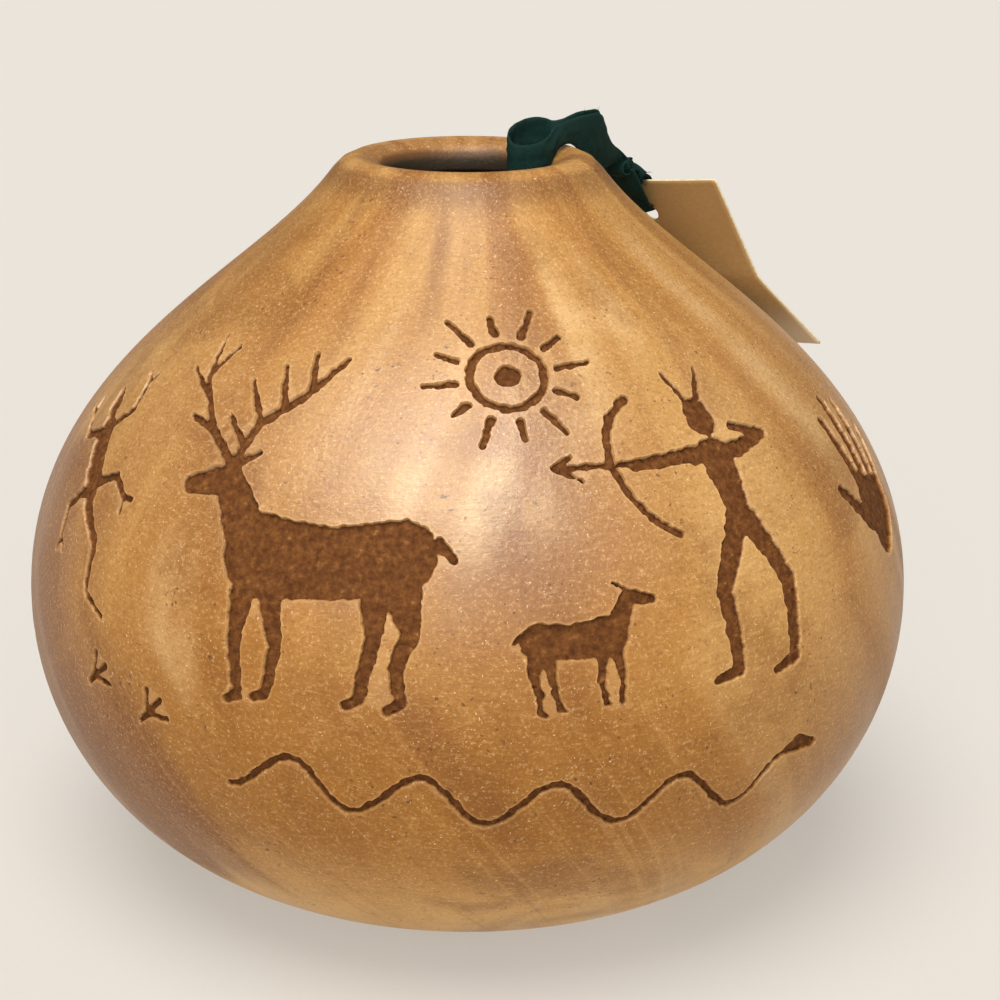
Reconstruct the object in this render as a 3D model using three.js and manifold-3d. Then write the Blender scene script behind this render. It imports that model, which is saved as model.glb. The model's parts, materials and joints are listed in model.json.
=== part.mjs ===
// Pottery vase with a looped ribbon and a folded hang tag.
// Millimetres, +Z up, origin at the centre of the foot, on the surface that the vase stands on.
import * as THREE from 'three';
import { mergeVertices } from 'three/addons/utils/BufferGeometryUtils.js';
import Module from 'manifold-3d';

const wasm = await Module();
wasm.setup();

// Vase body: outer form
const HEIGHT = 154;
const FOOT_RADIUS = 36;
const BELLY_RADIUS = 95;
const BELLY_HEIGHT = 61;
const NECK_RADIUS = 29.2;
const NECK_DROP = 4.1; // the neck's edge lies this far below the crest of the lip
const NECK_SLOPE = THREE.MathUtils.degToRad(52.4); // from level
const SHOULDER_FULLNESS = 48; // how far the curve rises before it leaves the belly's upright
const SHOULDER_FLARE = 28; // how far the curve follows the neck's slope

// Vase body: lip, throat and wall
const CREST_RADIUS = 24;
const THROAT_RADIUS = 17.6;
const LIP_ROLL = 4; // depth of the lip's rounded inner edge
const THROAT_LENGTH = 2;
const THROAT_RELIEF = 1.2; // rounding under the throat
const WALL = 6.5;
const FLOOR = 8;

// Vase body: steps round the axis and along each curve
const TURN_STEPS = 56;
const BELLY_STEPS = 10;
const SHOULDER_STEPS = 12;
const LIP_STEPS = 5;
const LIP_ROLL_STEPS = 6;
const UNDER_LIP_STEPS = 4;
const INNER_SHOULDER_STEPS = 8;
const HOLLOW_STEPS = 7;

// Engraving: figures cut into the skin by strokes of a flat graver
const CUT_DEPTH = 0.9;
const CUT_EASE = 0.04; // strokes that cross differ in depth by this much
const CUT_LIFT = 2.5; // the graver stands out of the skin by this much
const CUT_STEP = 14; // longest straight run of a stroke
const SLOPE_REACH = 1; // the skin's slope is taken over this far each way
const WIDE_STROKE = 4; // half width from which a stroke's floor follows the skin's curve across too
const JOIN_DISTANCE = 0.01; // a stroke whose ends are this close is a ring
const WAVE_STEPS = 6; // to a period of a wavy stroke
const RING_STEPS = 12;

const mirrored = (strokes) => strokes.map((stroke) => stroke.map(([x, y, w]) => [-x, y, w]));
const steps = (count, make) => Array.from({ length: count + 1 }, (_, i) => make(i / count));

function ring(radius, halfWidth, start, end, count) {
  return steps(count, (share) => {
    const angle = THREE.MathUtils.degToRad(THREE.MathUtils.lerp(start, end, share));
    return [radius * Math.cos(angle), radius * Math.sin(angle), halfWidth];
  });
}

function wave(length, height, period, halfWidth) {
  return steps(Math.round((WAVE_STEPS * length) / period), (share) => {
    const x = (share - 0.5) * length;
    return [x, height * Math.sin((2 * Math.PI * x) / period), halfWidth];
  });
}

// Strokes of each figure: points of across, up and half width
const DEER = [
  [[-16, 2, 9.5], [0, 1.5, 8], [15, 3, 8.5]],
  [[-20, 6, 6], [-27, 18, 4], [-38, 15, 2.2]],
  [[-19, -4, 3.6], [-21, -16, 1.9], [-20, -28, 1.5]],
  [[-13, -5, 3.2], [-11, -17, 1.8], [-13, -27, 1.4]],
  [[16, -2, 5], [19, -13, 2.4], [16, -20, 1.8], [17, -28, 1.5]],
  [[11, -3, 4], [11, -14, 2], [8, -27, 1.5]],
];
const ANTLERS = [
  [[-27, 22, 1.4], [-22, 32, 1.4], [-12, 40, 1.3], [-4, 50, 0.9]],
  [[-28, 22, 1.4], [-36, 30, 1.3], [-42, 41, 1.1], [-41, 52, 0.8]],
];
const ARCHER = [
  [[0, 26, 3.8], [0, 31, 3.4]],
  [[-6, 20, 2.2], [6, 20, 2.2]],
  [[0, 22, 4.6], [0.5, 4, 3]],
  [[-6, 20, 1.9], [-20, 19, 1.4]],
  [[6, 20, 1.9], [15, 22, 1.5], [7, 25, 1.2]],
  [[-0.5, 6, 3], [-8, -8, 2.2], [-6, -24, 1.6]],
  [[1.5, 6, 3], [9, -8, 2.2], [9, -24, 1.6]],
  ring(17, 1, 118, 242, 6).map(([x, y, w]) => [x - 7, y + 19, w]),
  [[-36, 18.6, 0.8], [-20, 19.5, 0.8]],
];
const LIZARD_LIMBS = [
  [[-2, 10, 1.7], [-10, 12, 1.3], [-12, 19, 1]],
  [[-2, -6, 1.7], [-10, -7, 1.3], [-13, -14, 1]],
];
const LIZARD = [
  [[0, 20, 2.4], [0, 8, 3.8], [0, -4, 3.6], [0, -12, 2], [3, -22, 1.5], [-2, -32, 1.1], [2, -40, 0.8]],
  ...LIZARD_LIMBS,
  ...mirrored(LIZARD_LIMBS),
];
const SUN = [
  ring(7.5, 1, 0, 360, RING_STEPS),
  [[-1.6, 0, 2.4], [1.6, 0, 2.4]],
];
const HAND = [
  [[0, 6, 9.5], [0, -9, 7]],
  [[-7, 5, 2.4], [-10.5, 19, 1.8]],
  [[-2.6, 7, 2.4], [-3.6, 24, 1.9]],
  [[2.6, 7, 2.4], [3.6, 23, 1.9]],
  [[7, 4, 2.2], [10.5, 17, 1.7]],
  [[-8, -4, 2.4], [-17, 3, 1.9]],
];
const DANCER = [
  [[0, 23, 2.8], [0, 27.5, 2.6]],
  [[0, 19, 4.8], [0, 4, 2.4]],
  [[-3, 18, 1.7], [-10, 12, 1.3], [-13, 18, 1.2]],
  [[3, 18, 1.7], [10, 12, 1.3], [13, 18, 1.2]],
  [[-1, 5, 2], [-5, -6, 1.6], [-4, -18, 1.3]],
  [[1, 5, 2], [5, -6, 1.6], [4, -18, 1.3]],
];
const CRANE = [
  [[-7, 0, 5], [6, 1, 4], [14, 4, 1.4]],
  [[-7, 3, 2.4], [-12, 12, 1.5], [-8, 20, 1.5], [-20, 19, 0.8]],
  [[1, -4, 1.4], [2, -14, 1], [1, -26, 1]],
  [[5, -3, 1.4], [8, -14, 1], [7, -26, 1]],
];
const TURTLE_LIMBS = [
  [[-8, 7, 2.4], [-14, 12, 1.5]],
  [[-8, -7, 2.4], [-14, -12, 1.5]],
];
const TURTLE = [
  ring(11, 1.3, 0, 360, RING_STEPS),
  [[0, 11.5, 2.6], [0, 18, 2.4]],
  ...TURTLE_LIMBS,
  ...mirrored(TURTLE_LIMBS),
];
const SNAKE = [wave(112, 4.6, 25, 0.85)];

// Where each figure sits: degrees to the right of the front, height, size and tilt in degrees
const FIGURES = [
  { strokes: [...DEER, ...ANTLERS], azimuth: -17, height: 92, size: 0.86, tilt: 3 },
  { strokes: ARCHER, azimuth: 37, height: 92, size: 0.95, tilt: -4 },
  { strokes: SUN, azimuth: 7, height: 122, size: 0.95, tilt: 8 },
  { strokes: LIZARD, azimuth: -63, height: 98, size: 0.86, tilt: 38 },
  { strokes: SNAKE, azimuth: 6, height: 50, size: 1, tilt: -4 },
  { strokes: HAND, azimuth: 70, height: 88, size: 0.95, tilt: -14 },
  ...[0, 1, 2, 3].map((k) => (
    { strokes: DANCER, azimuth: 124 + 17 * k, height: 96, size: 0.95, tilt: 3 * (-1) ** k })),
  { strokes: mirrored(CRANE), azimuth: -116, height: 96, size: 1.05, tilt: 0 },
  { strokes: TURTLE, azimuth: 98, height: 76, size: 0.95, tilt: -25 },
  { strokes: SUN, azimuth: -152, height: 112, size: 0.85, tilt: 0 },
  { strokes: DEER, azimuth: -152, height: 74, size: 0.6, tilt: -3 },
];

// Tag: one card, folded once
const CARD = 0.6;
const TAG_WIDTH = 28;
const UPPER_LEAF = 27;
const LOWER_LEAF = 29;
const TAG_FOLD = THREE.MathUtils.degToRad(18.4); // the lower leaf kicks out from the upper one
const CREASE_GAP = 0.3;
const HOLE_RADIUS = 2;
const HOLE_DROP = 9; // from the top edge
const HOLE_INSET = 5.5; // from the far side edge
const HOLE_STEPS = 20;

// Tag: place on the shoulder, turned to where its outer face looks
const TAG_AZIMUTH = THREE.MathUtils.degToRad(43.1);
const TAG_DROP = 19.5; // the hole lies this far below the crest of the lip
const TAG_FACING = THREE.MathUtils.degToRad(49.4);
const TAG_LEAN = THREE.MathUtils.degToRad(30);
const TAG_ROLL = THREE.MathUtils.degToRad(-8);
const TAG_GAP = 1.3; // least level gap between the card and the shoulder

// Ribbon
const RIBBON_WIDTH = 10;
const RIBBON = 0.6; // thickness
const RIBBON_AZIMUTH = THREE.MathUtils.degToRad(31); // where it crosses the lip
const SEAT_GAP = 0.3; // between pieces that touch

// Ribbon: bight that hangs in the mouth, an oval of ribbon standing on edge
const BIGHT_LENGTH = 10.4;
const BIGHT_DEPTH = 6.6;
const BIGHT_INSET = 11.4; // from the crest in to the oval's middle
const BIGHT_SHIFT = -3.4; // along the lip
const BIGHT_TILT = 3.2; // the outer end is this much higher than the crest, and the inner end lower
const BIGHT_LEAN = 1.2; // the back is this much higher than the middle
const BIGHT_OPENING = THREE.MathUtils.degToRad(29); // half the angle where the strands leave the oval
const BIGHT_PINCH = 5; // width of the ribbon there
const BIGHT_STEPS = 20;

// Ribbon: the two strands from the bight over the lip to the knot
const STRAND_GAP = 1; // between their faces
const BAND_LEAD = 2.4; // from the oval's outer end to the start of the band
const BAND_ARCH = 0.8; // rise of the band over the lip, above a straight run
const BAND_ARCH_PLACE = 0.4; // share of the run at which it rises most
const BAND_WIDTH = 7.5; // across the lip, as the cupped ribbon shows
const BAND_START_TILT = THREE.MathUtils.degToRad(74); // the ribbon's width from level
const BAND_TILT = THREE.MathUtils.degToRad(45);
const PEAK_REACH = 10.6; // the fold outside the lip, out from the crest
const PEAK_SHIFT = 0.8; // along the lip
const PEAK_RISE = 3.1; // above the crest
const STRAND_SAG = 1.2; // towards the vase, between the fold and the knot
const STRAND_WIDTH = 5.5;
const STRAND_STEPS = 16;

// Ribbon: knot, the turn through the tag's hole, and the cut end
const KNOT_RADIUS = 2.4;
const KNOT_LENGTH = 6.4;
const KNOT_WAIST = 2;
const KNOT_END = 1.3; // radius of its flat ends
const KNOT_STEPS = 16;
const TIE_WIDTH = 3; // gathered to pass the hole
const TIE_SPREAD = 5; // below the knot
const TIE_CLEAR = 3; // room above the card's top edge
const TIE_DEPTH = 9;
const TIE_LEAN = 3; // its top leans this far towards the vase
const TIE_STEPS = 24;
const TAIL_LENGTH = 6;
const TAIL_WIDTH = 3.4;
const TAIL_DROP = THREE.MathUtils.degToRad(38); // below the line of the knot
const TAIL_TWIST = THREE.MathUtils.degToRad(17);

const clay = new THREE.MeshStandardMaterial({ color: 0xbf8a4e, roughness: 0.42, metalness: 0 });
const cloth = new THREE.MeshStandardMaterial({ color: 0x12342f, roughness: 0.85, metalness: 0 });
const kraft = new THREE.MeshStandardMaterial({ color: 0xb08d5a, roughness: 0.8, metalness: 0 });

const vec2 = (r, z) => new THREE.Vector2(r, z);
const vec3 = (x, y, z) => new THREE.Vector3(x, y, z);

function namedMesh(name, geometry, material) {
  const mesh = new THREE.Mesh(geometry, material.clone());
  mesh.name = name;
  return mesh;
}

// Vase profile, as radius and height

const neck = vec2(NECK_RADIUS, HEIGHT - NECK_DROP);
const crest = vec2(CREST_RADIUS, HEIGHT);
const bellyCurve = new THREE.EllipseCurve(
  FOOT_RADIUS, BELLY_HEIGHT, BELLY_RADIUS - FOOT_RADIUS, BELLY_HEIGHT, -Math.PI / 2, 0,
);
const shoulderCurve = new THREE.CubicBezierCurve(
  vec2(BELLY_RADIUS, BELLY_HEIGHT),
  vec2(BELLY_RADIUS, BELLY_HEIGHT + SHOULDER_FULLNESS),
  vec2(neck.x + SHOULDER_FLARE * Math.cos(NECK_SLOPE), neck.y - SHOULDER_FLARE * Math.sin(NECK_SLOPE)),
  neck,
);
const lipCorner = vec2(neck.x - NECK_DROP / Math.tan(NECK_SLOPE), HEIGHT);
const lipCurve = new THREE.QuadraticBezierCurve(neck, lipCorner, crest);
const lipRollCurve = new THREE.EllipseCurve(
  CREST_RADIUS, HEIGHT - LIP_ROLL, CREST_RADIUS - THROAT_RADIUS, LIP_ROLL, Math.PI / 2, Math.PI,
);

// Points of a rising curve, moved in by the wall
function wallInside(curve, count) {
  return steps(count, (share) => {
    const along = curve.getTangent(share);
    return curve.getPoint(share).add(vec2(-along.y, along.x).multiplyScalar(WALL));
  });
}

const outerPoints = [
  ...bellyCurve.getPoints(BELLY_STEPS),
  ...shoulderCurve.getPoints(SHOULDER_STEPS).slice(1),
  ...lipCurve.getPoints(LIP_STEPS).slice(1),
];

function innerPoints() {
  const shoulder = wallInside(shoulderCurve, INNER_SHOULDER_STEPS).reverse();
  const throatEnd = vec2(THROAT_RADIUS, HEIGHT - LIP_ROLL - THROAT_LENGTH);
  const underLip = new THREE.QuadraticBezierCurve(
    throatEnd, vec2(THROAT_RADIUS, throatEnd.y - THROAT_RELIEF), shoulder[0],
  );
  const hollow = new THREE.EllipseCurve(
    FOOT_RADIUS, BELLY_HEIGHT, BELLY_RADIUS - FOOT_RADIUS - WALL, BELLY_HEIGHT - FLOOR, 0, -Math.PI / 2, true,
  );
  return [
    ...lipRollCurve.getPoints(LIP_ROLL_STEPS).slice(1),
    ...underLip.getPoints(UNDER_LIP_STEPS),
    ...shoulder.slice(1),
    ...hollow.getPoints(HOLLOW_STEPS).slice(1),
  ];
}

// Distance up the outer profile from the foot's edge to each of its points
const outerArc = [0];
outerPoints.slice(1).forEach((point, i) => outerArc.push(outerArc[i] + point.distanceTo(outerPoints[i])));

// Place between the profile's points that share out a rising list of values as the given one does
function profileAt(values, value) {
  const found = values.findIndex((v) => v >= value);
  const i = found < 0 ? values.length - 1 : Math.max(found, 1);
  return { i, share: (value - values[i - 1]) / (values[i] - values[i - 1]) };
}

function skinProfile(arc) {
  const { i, share } = profileAt(outerArc, arc);
  return outerPoints[i - 1].clone().lerp(outerPoints[i], share);
}

// Place on the skin, or out from it, at a turn to the right of the front
function skinPoint(turn, arc, out) {
  const along = skinProfile(arc + SLOPE_REACH).sub(skinProfile(arc - SLOPE_REACH)).normalize();
  const place = skinProfile(arc).add(vec2(along.y, -along.x).multiplyScalar(out));
  return vec3(place.x * Math.sin(turn), -place.x * Math.cos(turn), place.y);
}

// Stroke with its long runs split
function splitStroke(stroke) {
  const points = [stroke[0]];
  for (const [i, end] of stroke.slice(1).entries()) {
    const start = stroke[i];
    const count = Math.ceil(Math.hypot(end[0] - start[0], end[1] - start[1]) / CUT_STEP);
    for (let k = 1; k <= count; k += 1) {
      points.push(start.map((value, axis) => THREE.MathUtils.lerp(value, end[axis], k / count)));
    }
  }
  return points;
}

// Faces that join sections in a row, each with corners along its floor and then back along its roof
function loftFaces(count, columns, closed) {
  const section = 2 * (columns + 1);
  const runs = closed ? count : count - 1;
  const faces = [];
  for (let i = 0; i < runs; i += 1) {
    const [here, there] = [section * i, section * ((i + 1) % count)];
    for (let k = 0; k < section; k += 1) {
      const next = (k + 1) % section;
      faces.push(here + k, here + next, there + next, here + k, there + next, there + k);
    }
  }
  if (closed) return faces;
  const end = section * (count - 1);
  for (let k = 0; k < columns; k += 1) {
    const [left, right, roofRight, roofLeft] = [k, k + 1, section - 2 - k, section - 1 - k];
    faces.push(left, roofRight, right, left, roofLeft, roofRight);
    faces.push(end + left, end + right, end + roofRight, end + left, end + roofRight, end + roofLeft);
  }
  return faces;
}

// Body that a stroke takes out of the skin, with sections from its floor up to the graver's top
function strokeGeometry(stroke, { azimuth, height, size, tilt }, depth) {
  const { i: above, share: rise } = profileAt(outerPoints.map((p) => p.y), height);
  const middle = THREE.MathUtils.lerp(outerArc[above - 1], outerArc[above], rise);
  const [c, s] = [Math.cos(THREE.MathUtils.degToRad(tilt)), Math.sin(THREE.MathUtils.degToRad(tilt))];
  const onSkin = (x, y, out) => {
    const arc = middle + size * (s * x + c * y);
    const turn = THREE.MathUtils.degToRad(azimuth) + (size * (c * x - s * y)) / skinProfile(arc).x;
    return skinPoint(turn, arc, out);
  };

  const points = splitStroke(stroke);
  const [first, last] = [points[0], points[points.length - 1]];
  const closed = Math.hypot(first[0] - last[0], first[1] - last[1]) < JOIN_DISTANCE;
  if (closed) points.pop();
  const count = points.length;
  const columns = Math.max(...stroke.map((point) => point[2])) < WIDE_STROKE ? 1 : 2;
  const corners = [];
  points.forEach(([x, y, halfWidth], i) => {
    const before = points[closed ? (i + count - 1) % count : Math.max(i - 1, 0)];
    const after = points[closed ? (i + 1) % count : Math.min(i + 1, count - 1)];
    const way = vec2(after[0] - before[0], after[1] - before[1]).normalize();
    const row = steps(columns, (share) => {
      const off = THREE.MathUtils.lerp(-halfWidth, halfWidth, share);
      return [x - off * way.y, y + off * way.x];
    });
    corners.push(...row.map(([px, py]) => onSkin(px, py, -depth)));
    corners.push(...row.reverse().map(([px, py]) => onSkin(px, py, CUT_LIFT)));
  });
  return new THREE.BufferGeometry().setFromPoints(corners).setIndex(loftFaces(count, columns, closed));
}

function toSolid(geometry) {
  const bare = geometry.clone();
  bare.deleteAttribute('normal');
  bare.deleteAttribute('uv');
  const merged = mergeVertices(bare);
  const triVerts = [];
  for (let i = 0; i < merged.index.count; i += 3) {
    const [a, b, c] = [0, 1, 2].map((k) => merged.index.getX(i + k));
    if (a !== b && b !== c && c !== a) triVerts.push(a, b, c);
  }
  return new wasm.Manifold(new wasm.Mesh({
    numProp: 3,
    vertProperties: merged.attributes.position.array,
    triVerts: Uint32Array.from(triVerts),
  }));
}

function fromSolid(solid) {
  const mesh = solid.getMesh();
  return new THREE.BufferGeometry()
    .setAttribute('position', new THREE.BufferAttribute(mesh.vertProperties, 3))
    .setIndex(new THREE.BufferAttribute(mesh.triVerts, 1));
}

function vaseBody() {
  const profile = [vec2(0, 0), ...outerPoints, ...innerPoints(), vec2(0, FLOOR)];
  let body = toSolid(new THREE.LatheGeometry(profile, TURN_STEPS).rotateX(Math.PI / 2));
  for (const figure of FIGURES) {
    figure.strokes.forEach((stroke, i) => {
      body = body.subtract(toSolid(strokeGeometry(stroke, figure, CUT_DEPTH + CUT_EASE * (i % 3))));
    });
  }
  return fromSolid(body);
}

// Outer radius of the vase at a height
function outerRadius(z) {
  const i = outerPoints.findIndex((p) => p.y >= z);
  if (i < 0) return 0;
  if (i === 0) return outerPoints[0].x;
  const [low, high] = [outerPoints[i - 1], outerPoints[i]];
  return THREE.MathUtils.mapLinear(z, low.y, high.y, low.x, high.x);
}

// Flat strip along stations, each with a centre, a way along, a way across and a width
function stripGeometry(stations, thickness, closed = false) {
  const corners = [];
  for (const { centre, along, across, width } of stations) {
    const normal = vec3().crossVectors(along, across).normalize();
    const half = vec3().crossVectors(normal, along).setLength(width / 2);
    const rise = normal.setLength(thickness / 2);
    for (const [side, up] of [[1, 1], [-1, 1], [-1, -1], [1, -1]]) {
      corners.push(centre.clone().addScaledVector(half, side).addScaledVector(rise, up));
    }
  }
  return new THREE.BufferGeometry().setFromPoints(corners).setIndex(loftFaces(stations.length, 1, closed));
}

// Tag frame: x along the card's width, y up the card, z out of its outer face, origin at the hole

const tagTurn = new THREE.Matrix4().makeRotationZ(TAG_FACING)
  .multiply(new THREE.Matrix4().makeRotationY(-TAG_LEAN))
  .multiply(new THREE.Matrix4().makeBasis(vec3(0, 1, 0), vec3(0, 0, 1), vec3(1, 0, 0)))
  .multiply(new THREE.Matrix4().makeRotationZ(TAG_ROLL));
const leafTop = HOLE_DROP;
const crease = leafTop - UPPER_LEAF;
const farSide = HOLE_INSET;
const nearSide = HOLE_INSET - TAG_WIDTH;

// Corners of the card's inner faces, in the tag frame
function cardPoints() {
  const points = [];
  for (const x of [nearSide, (nearSide + farSide) / 2, farSide]) {
    for (const share of [0, 0.5, 1]) {
      points.push(vec3(x, leafTop - share * UPPER_LEAF, -CARD));
      const out = share * LOWER_LEAF;
      points.push(vec3(x, crease - out * Math.cos(TAG_FOLD), out * Math.sin(TAG_FOLD) - CARD));
    }
  }
  return points;
}

// Distance from the axis at which the hole lies when the card just clears the shoulder
function tagRadius() {
  const outward = vec3(Math.cos(TAG_AZIMUTH), Math.sin(TAG_AZIMUTH), 0);
  const holeHeight = HEIGHT - TAG_DROP;
  return Math.max(...cardPoints().map((point) => {
    const offset = point.clone().applyMatrix4(tagTurn);
    const clear = outerRadius(holeHeight + offset.z) + TAG_GAP;
    const ahead = offset.dot(outward);
    const aside = offset.x ** 2 + offset.y ** 2 - ahead ** 2;
    return Math.sqrt(Math.max(clear ** 2 - aside, 0)) - ahead;
  }));
}

const tagOut = tagRadius();
const tagFrame = new THREE.Matrix4()
  .makeTranslation(tagOut * Math.cos(TAG_AZIMUTH), tagOut * Math.sin(TAG_AZIMUTH), HEIGHT - TAG_DROP)
  .multiply(tagTurn);

function leafGeometry(top, bottom, hole) {
  const outline = new THREE.Shape([
    vec2(nearSide, bottom), vec2(farSide, bottom), vec2(farSide, top), vec2(nearSide, top),
  ]);
  if (hole) outline.holes.push(new THREE.Path().absarc(0, 0, HOLE_RADIUS, 0, 2 * Math.PI, true));
  return new THREE.ExtrudeGeometry(outline, { depth: CARD, bevelEnabled: false, curveSegments: HOLE_STEPS })
    .translate(0, 0, -CARD);
}

function tagLeaves() {
  const upper = namedMesh('tag_upper_leaf', leafGeometry(leafTop, crease + CREASE_GAP / 2, true), kraft);
  const lower = namedMesh('tag_lower_leaf', leafGeometry(-CREASE_GAP / 2, -LOWER_LEAF, false), kraft);
  lower.position.y = crease;
  lower.rotation.x = -TAG_FOLD;
  return [upper, lower];
}

// Turn of ribbon through the hole and over the card's top edge
const tieHeight = leafTop + TIE_CLEAR;

function ribbonTie() {
  const stations = Array.from({ length: TIE_STEPS }, (_, i) => {
    const angle = (2 * Math.PI * i) / TIE_STEPS;
    const [c, s] = [Math.cos(angle), Math.sin(angle)];
    return {
      centre: vec3(0, (tieHeight / 2) * (1 - c), (TIE_DEPTH * s - TIE_LEAN * (1 - c) - CARD) / 2),
      along: vec3(0, tieHeight * s, TIE_DEPTH * c - TIE_LEAN * s).normalize(),
      across: vec3(1, 0, 0),
      width: THREE.MathUtils.lerp(TIE_WIDTH, TIE_SPREAD, (1 - c) / 2),
    };
  });
  return namedMesh('ribbon_tie', stripGeometry(stations, RIBBON, true), cloth);
}

// Knot: a short barrel across the top of the tie, waisted where the ribbon wraps it
const knotPlace = vec3(0, tieHeight + RIBBON / 2 + SEAT_GAP + KNOT_RADIUS, -TIE_LEAN - CARD / 2);

function ribbonKnot() {
  const half = KNOT_LENGTH / 2;
  const side = new THREE.SplineCurve([
    vec2(KNOT_END, -half), vec2(KNOT_RADIUS, -half / 2), vec2(KNOT_WAIST, 0),
    vec2(KNOT_RADIUS, half / 2), vec2(KNOT_END, half),
  ]);
  const profile = [vec2(0, -half), ...side.getPoints(KNOT_STEPS), vec2(0, half)];
  const barrel = new THREE.LatheGeometry(profile, KNOT_STEPS).rotateZ(Math.PI / 2);
  const knot = namedMesh('ribbon_knot', barrel, cloth);
  knot.position.copy(knotPlace);
  return knot;
}

function ribbonTail() {
  const root = vec3(-KNOT_LENGTH / 2 - SEAT_GAP, -KNOT_END, 0);
  const along = vec3(-Math.cos(TAIL_DROP), -Math.sin(TAIL_DROP), 0);
  const across = vec3(-Math.sin(TAIL_DROP), Math.cos(TAIL_DROP), 0).applyAxisAngle(along, TAIL_TWIST);
  const stations = [0, 1].map((share) => ({
    centre: root.clone().addScaledVector(along, share * TAIL_LENGTH),
    along,
    across,
    width: TAIL_WIDTH,
  }));
  const tail = namedMesh('ribbon_tail', stripGeometry(stations, RIBBON), cloth);
  tail.position.copy(knotPlace);
  return tail;
}

// Ribbon frame: x out from the crest of the lip, y along the lip, z up

const ribbonFrame = new THREE.Matrix4().makeRotationZ(RIBBON_AZIMUTH)
  .multiply(new THREE.Matrix4().makeTranslation(CREST_RADIUS, 0, HEIGHT));

// Half the thickness of the two strands together
const strandHalf = RIBBON + STRAND_GAP / 2;

// Stations from the bight's outer end over the lip to the knot
function strandStations() {
  const toRibbon = ribbonFrame.clone().invert().multiply(tagFrame);
  const knotRise = KNOT_RADIUS + SEAT_GAP + strandHalf;
  const knotTop = knotPlace.clone().add(vec3(0, knotRise, 0)).applyMatrix4(toRibbon);
  const knotLine = vec3(1, 0, 0).transformDirection(toRibbon);
  const start = vec3(BIGHT_LENGTH / 2 - BIGHT_INSET + BAND_LEAD, BIGHT_SHIFT, BIGHT_TILT);
  const peak = vec3(PEAK_REACH, PEAK_SHIFT, PEAK_RISE);
  const run = peak.clone().sub(start);
  const tilted = (tilt) => vec3(-run.y, run.x, 0).setLength(Math.cos(tilt)).setZ(Math.sin(tilt));
  const arch = start.clone().lerp(peak, BAND_ARCH_PLACE).add(vec3(0, 0, BAND_ARCH));
  const sag = peak.clone().lerp(knotTop, 0.5).add(vec3(-STRAND_SAG, 0, 0));
  return [
    { centre: start, across: tilted(BAND_START_TILT), width: BIGHT_PINCH },
    { centre: arch, across: tilted(BAND_TILT), width: BAND_WIDTH },
    { centre: peak, across: tilted(BAND_TILT), width: BAND_WIDTH },
    { centre: sag, across: knotLine, width: STRAND_WIDTH },
    { centre: knotTop, across: knotLine, width: STRAND_WIDTH },
  ];
}

// Even steps along a smooth curve through the stations
function smoothStrand(stations, count) {
  const curve = new THREE.CatmullRomCurve3(stations.map((s) => s.centre));
  return steps(count, (share) => {
    const place = share * (stations.length - 1);
    const k = Math.min(Math.floor(place), stations.length - 2);
    const [from, to] = [stations[k], stations[k + 1]];
    return {
      centre: curve.getPoint(share),
      along: curve.getTangent(share),
      across: from.across.clone().normalize().lerp(to.across.clone().normalize(), place - k).normalize(),
      width: THREE.MathUtils.lerp(from.width, to.width, place - k),
    };
  });
}

// The strand moved off its middle, to one side of the ribbon's face
function offsetStrand(strand, distance) {
  return strand.map((station) => {
    const normal = vec3().crossVectors(station.along, station.across).normalize();
    return { ...station, centre: station.centre.clone().addScaledVector(normal, distance) };
  });
}

function ribbonLoop() {
  const strand = smoothStrand(strandStations(), STRAND_STEPS);
  const front = offsetStrand(strand, strandHalf - RIBBON / 2);
  const back = offsetStrand(strand, RIBBON / 2 - strandHalf);
  const middle = vec3(-BIGHT_INSET, BIGHT_SHIFT, 0);
  const [halfLength, halfDepth] = [BIGHT_LENGTH / 2, BIGHT_DEPTH / 2];
  const oval = steps(BIGHT_STEPS, (share) => {
    const angle = THREE.MathUtils.lerp(-BIGHT_OPENING, BIGHT_OPENING - 2 * Math.PI, share);
    const [c, s] = [Math.cos(angle), Math.sin(angle)];
    return {
      centre: vec3(halfLength * c, halfDepth * s, BIGHT_TILT * c + BIGHT_LEAN * s).add(middle),
      along: vec3(halfLength * s, -halfDepth * c, BIGHT_TILT * s - BIGHT_LEAN * c).normalize(),
      across: vec3(0, 0, 1),
      width: THREE.MathUtils.lerp(BIGHT_PINCH, RIBBON_WIDTH, (1 - c) / 2),
    };
  });
  const turned = (station) => ({ ...station, along: station.along.clone().negate() });
  const stations = [...front.reverse().map(turned), ...oval, ...back];
  return namedMesh('ribbon_loop', stripGeometry(stations, RIBBON), cloth);
}

const vase = new THREE.Group();
vase.add(namedMesh('vase_body', vaseBody(), clay));

const ribbon = new THREE.Group();
ribbon.applyMatrix4(ribbonFrame);
ribbon.add(ribbonLoop());
vase.add(ribbon);

const tag = new THREE.Group();
tag.applyMatrix4(tagFrame);
tag.add(...tagLeaves(), ribbonTie(), ribbonKnot(), ribbonTail());
vase.add(tag);

export default vase;
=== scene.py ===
"""Engraved pottery vase with a looped ribbon and a folded hang tag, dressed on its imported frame."""

import json
import math

import bpy
import numpy as np
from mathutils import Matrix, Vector
from mathutils.geometry import delaunay_2d_cdt


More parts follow.
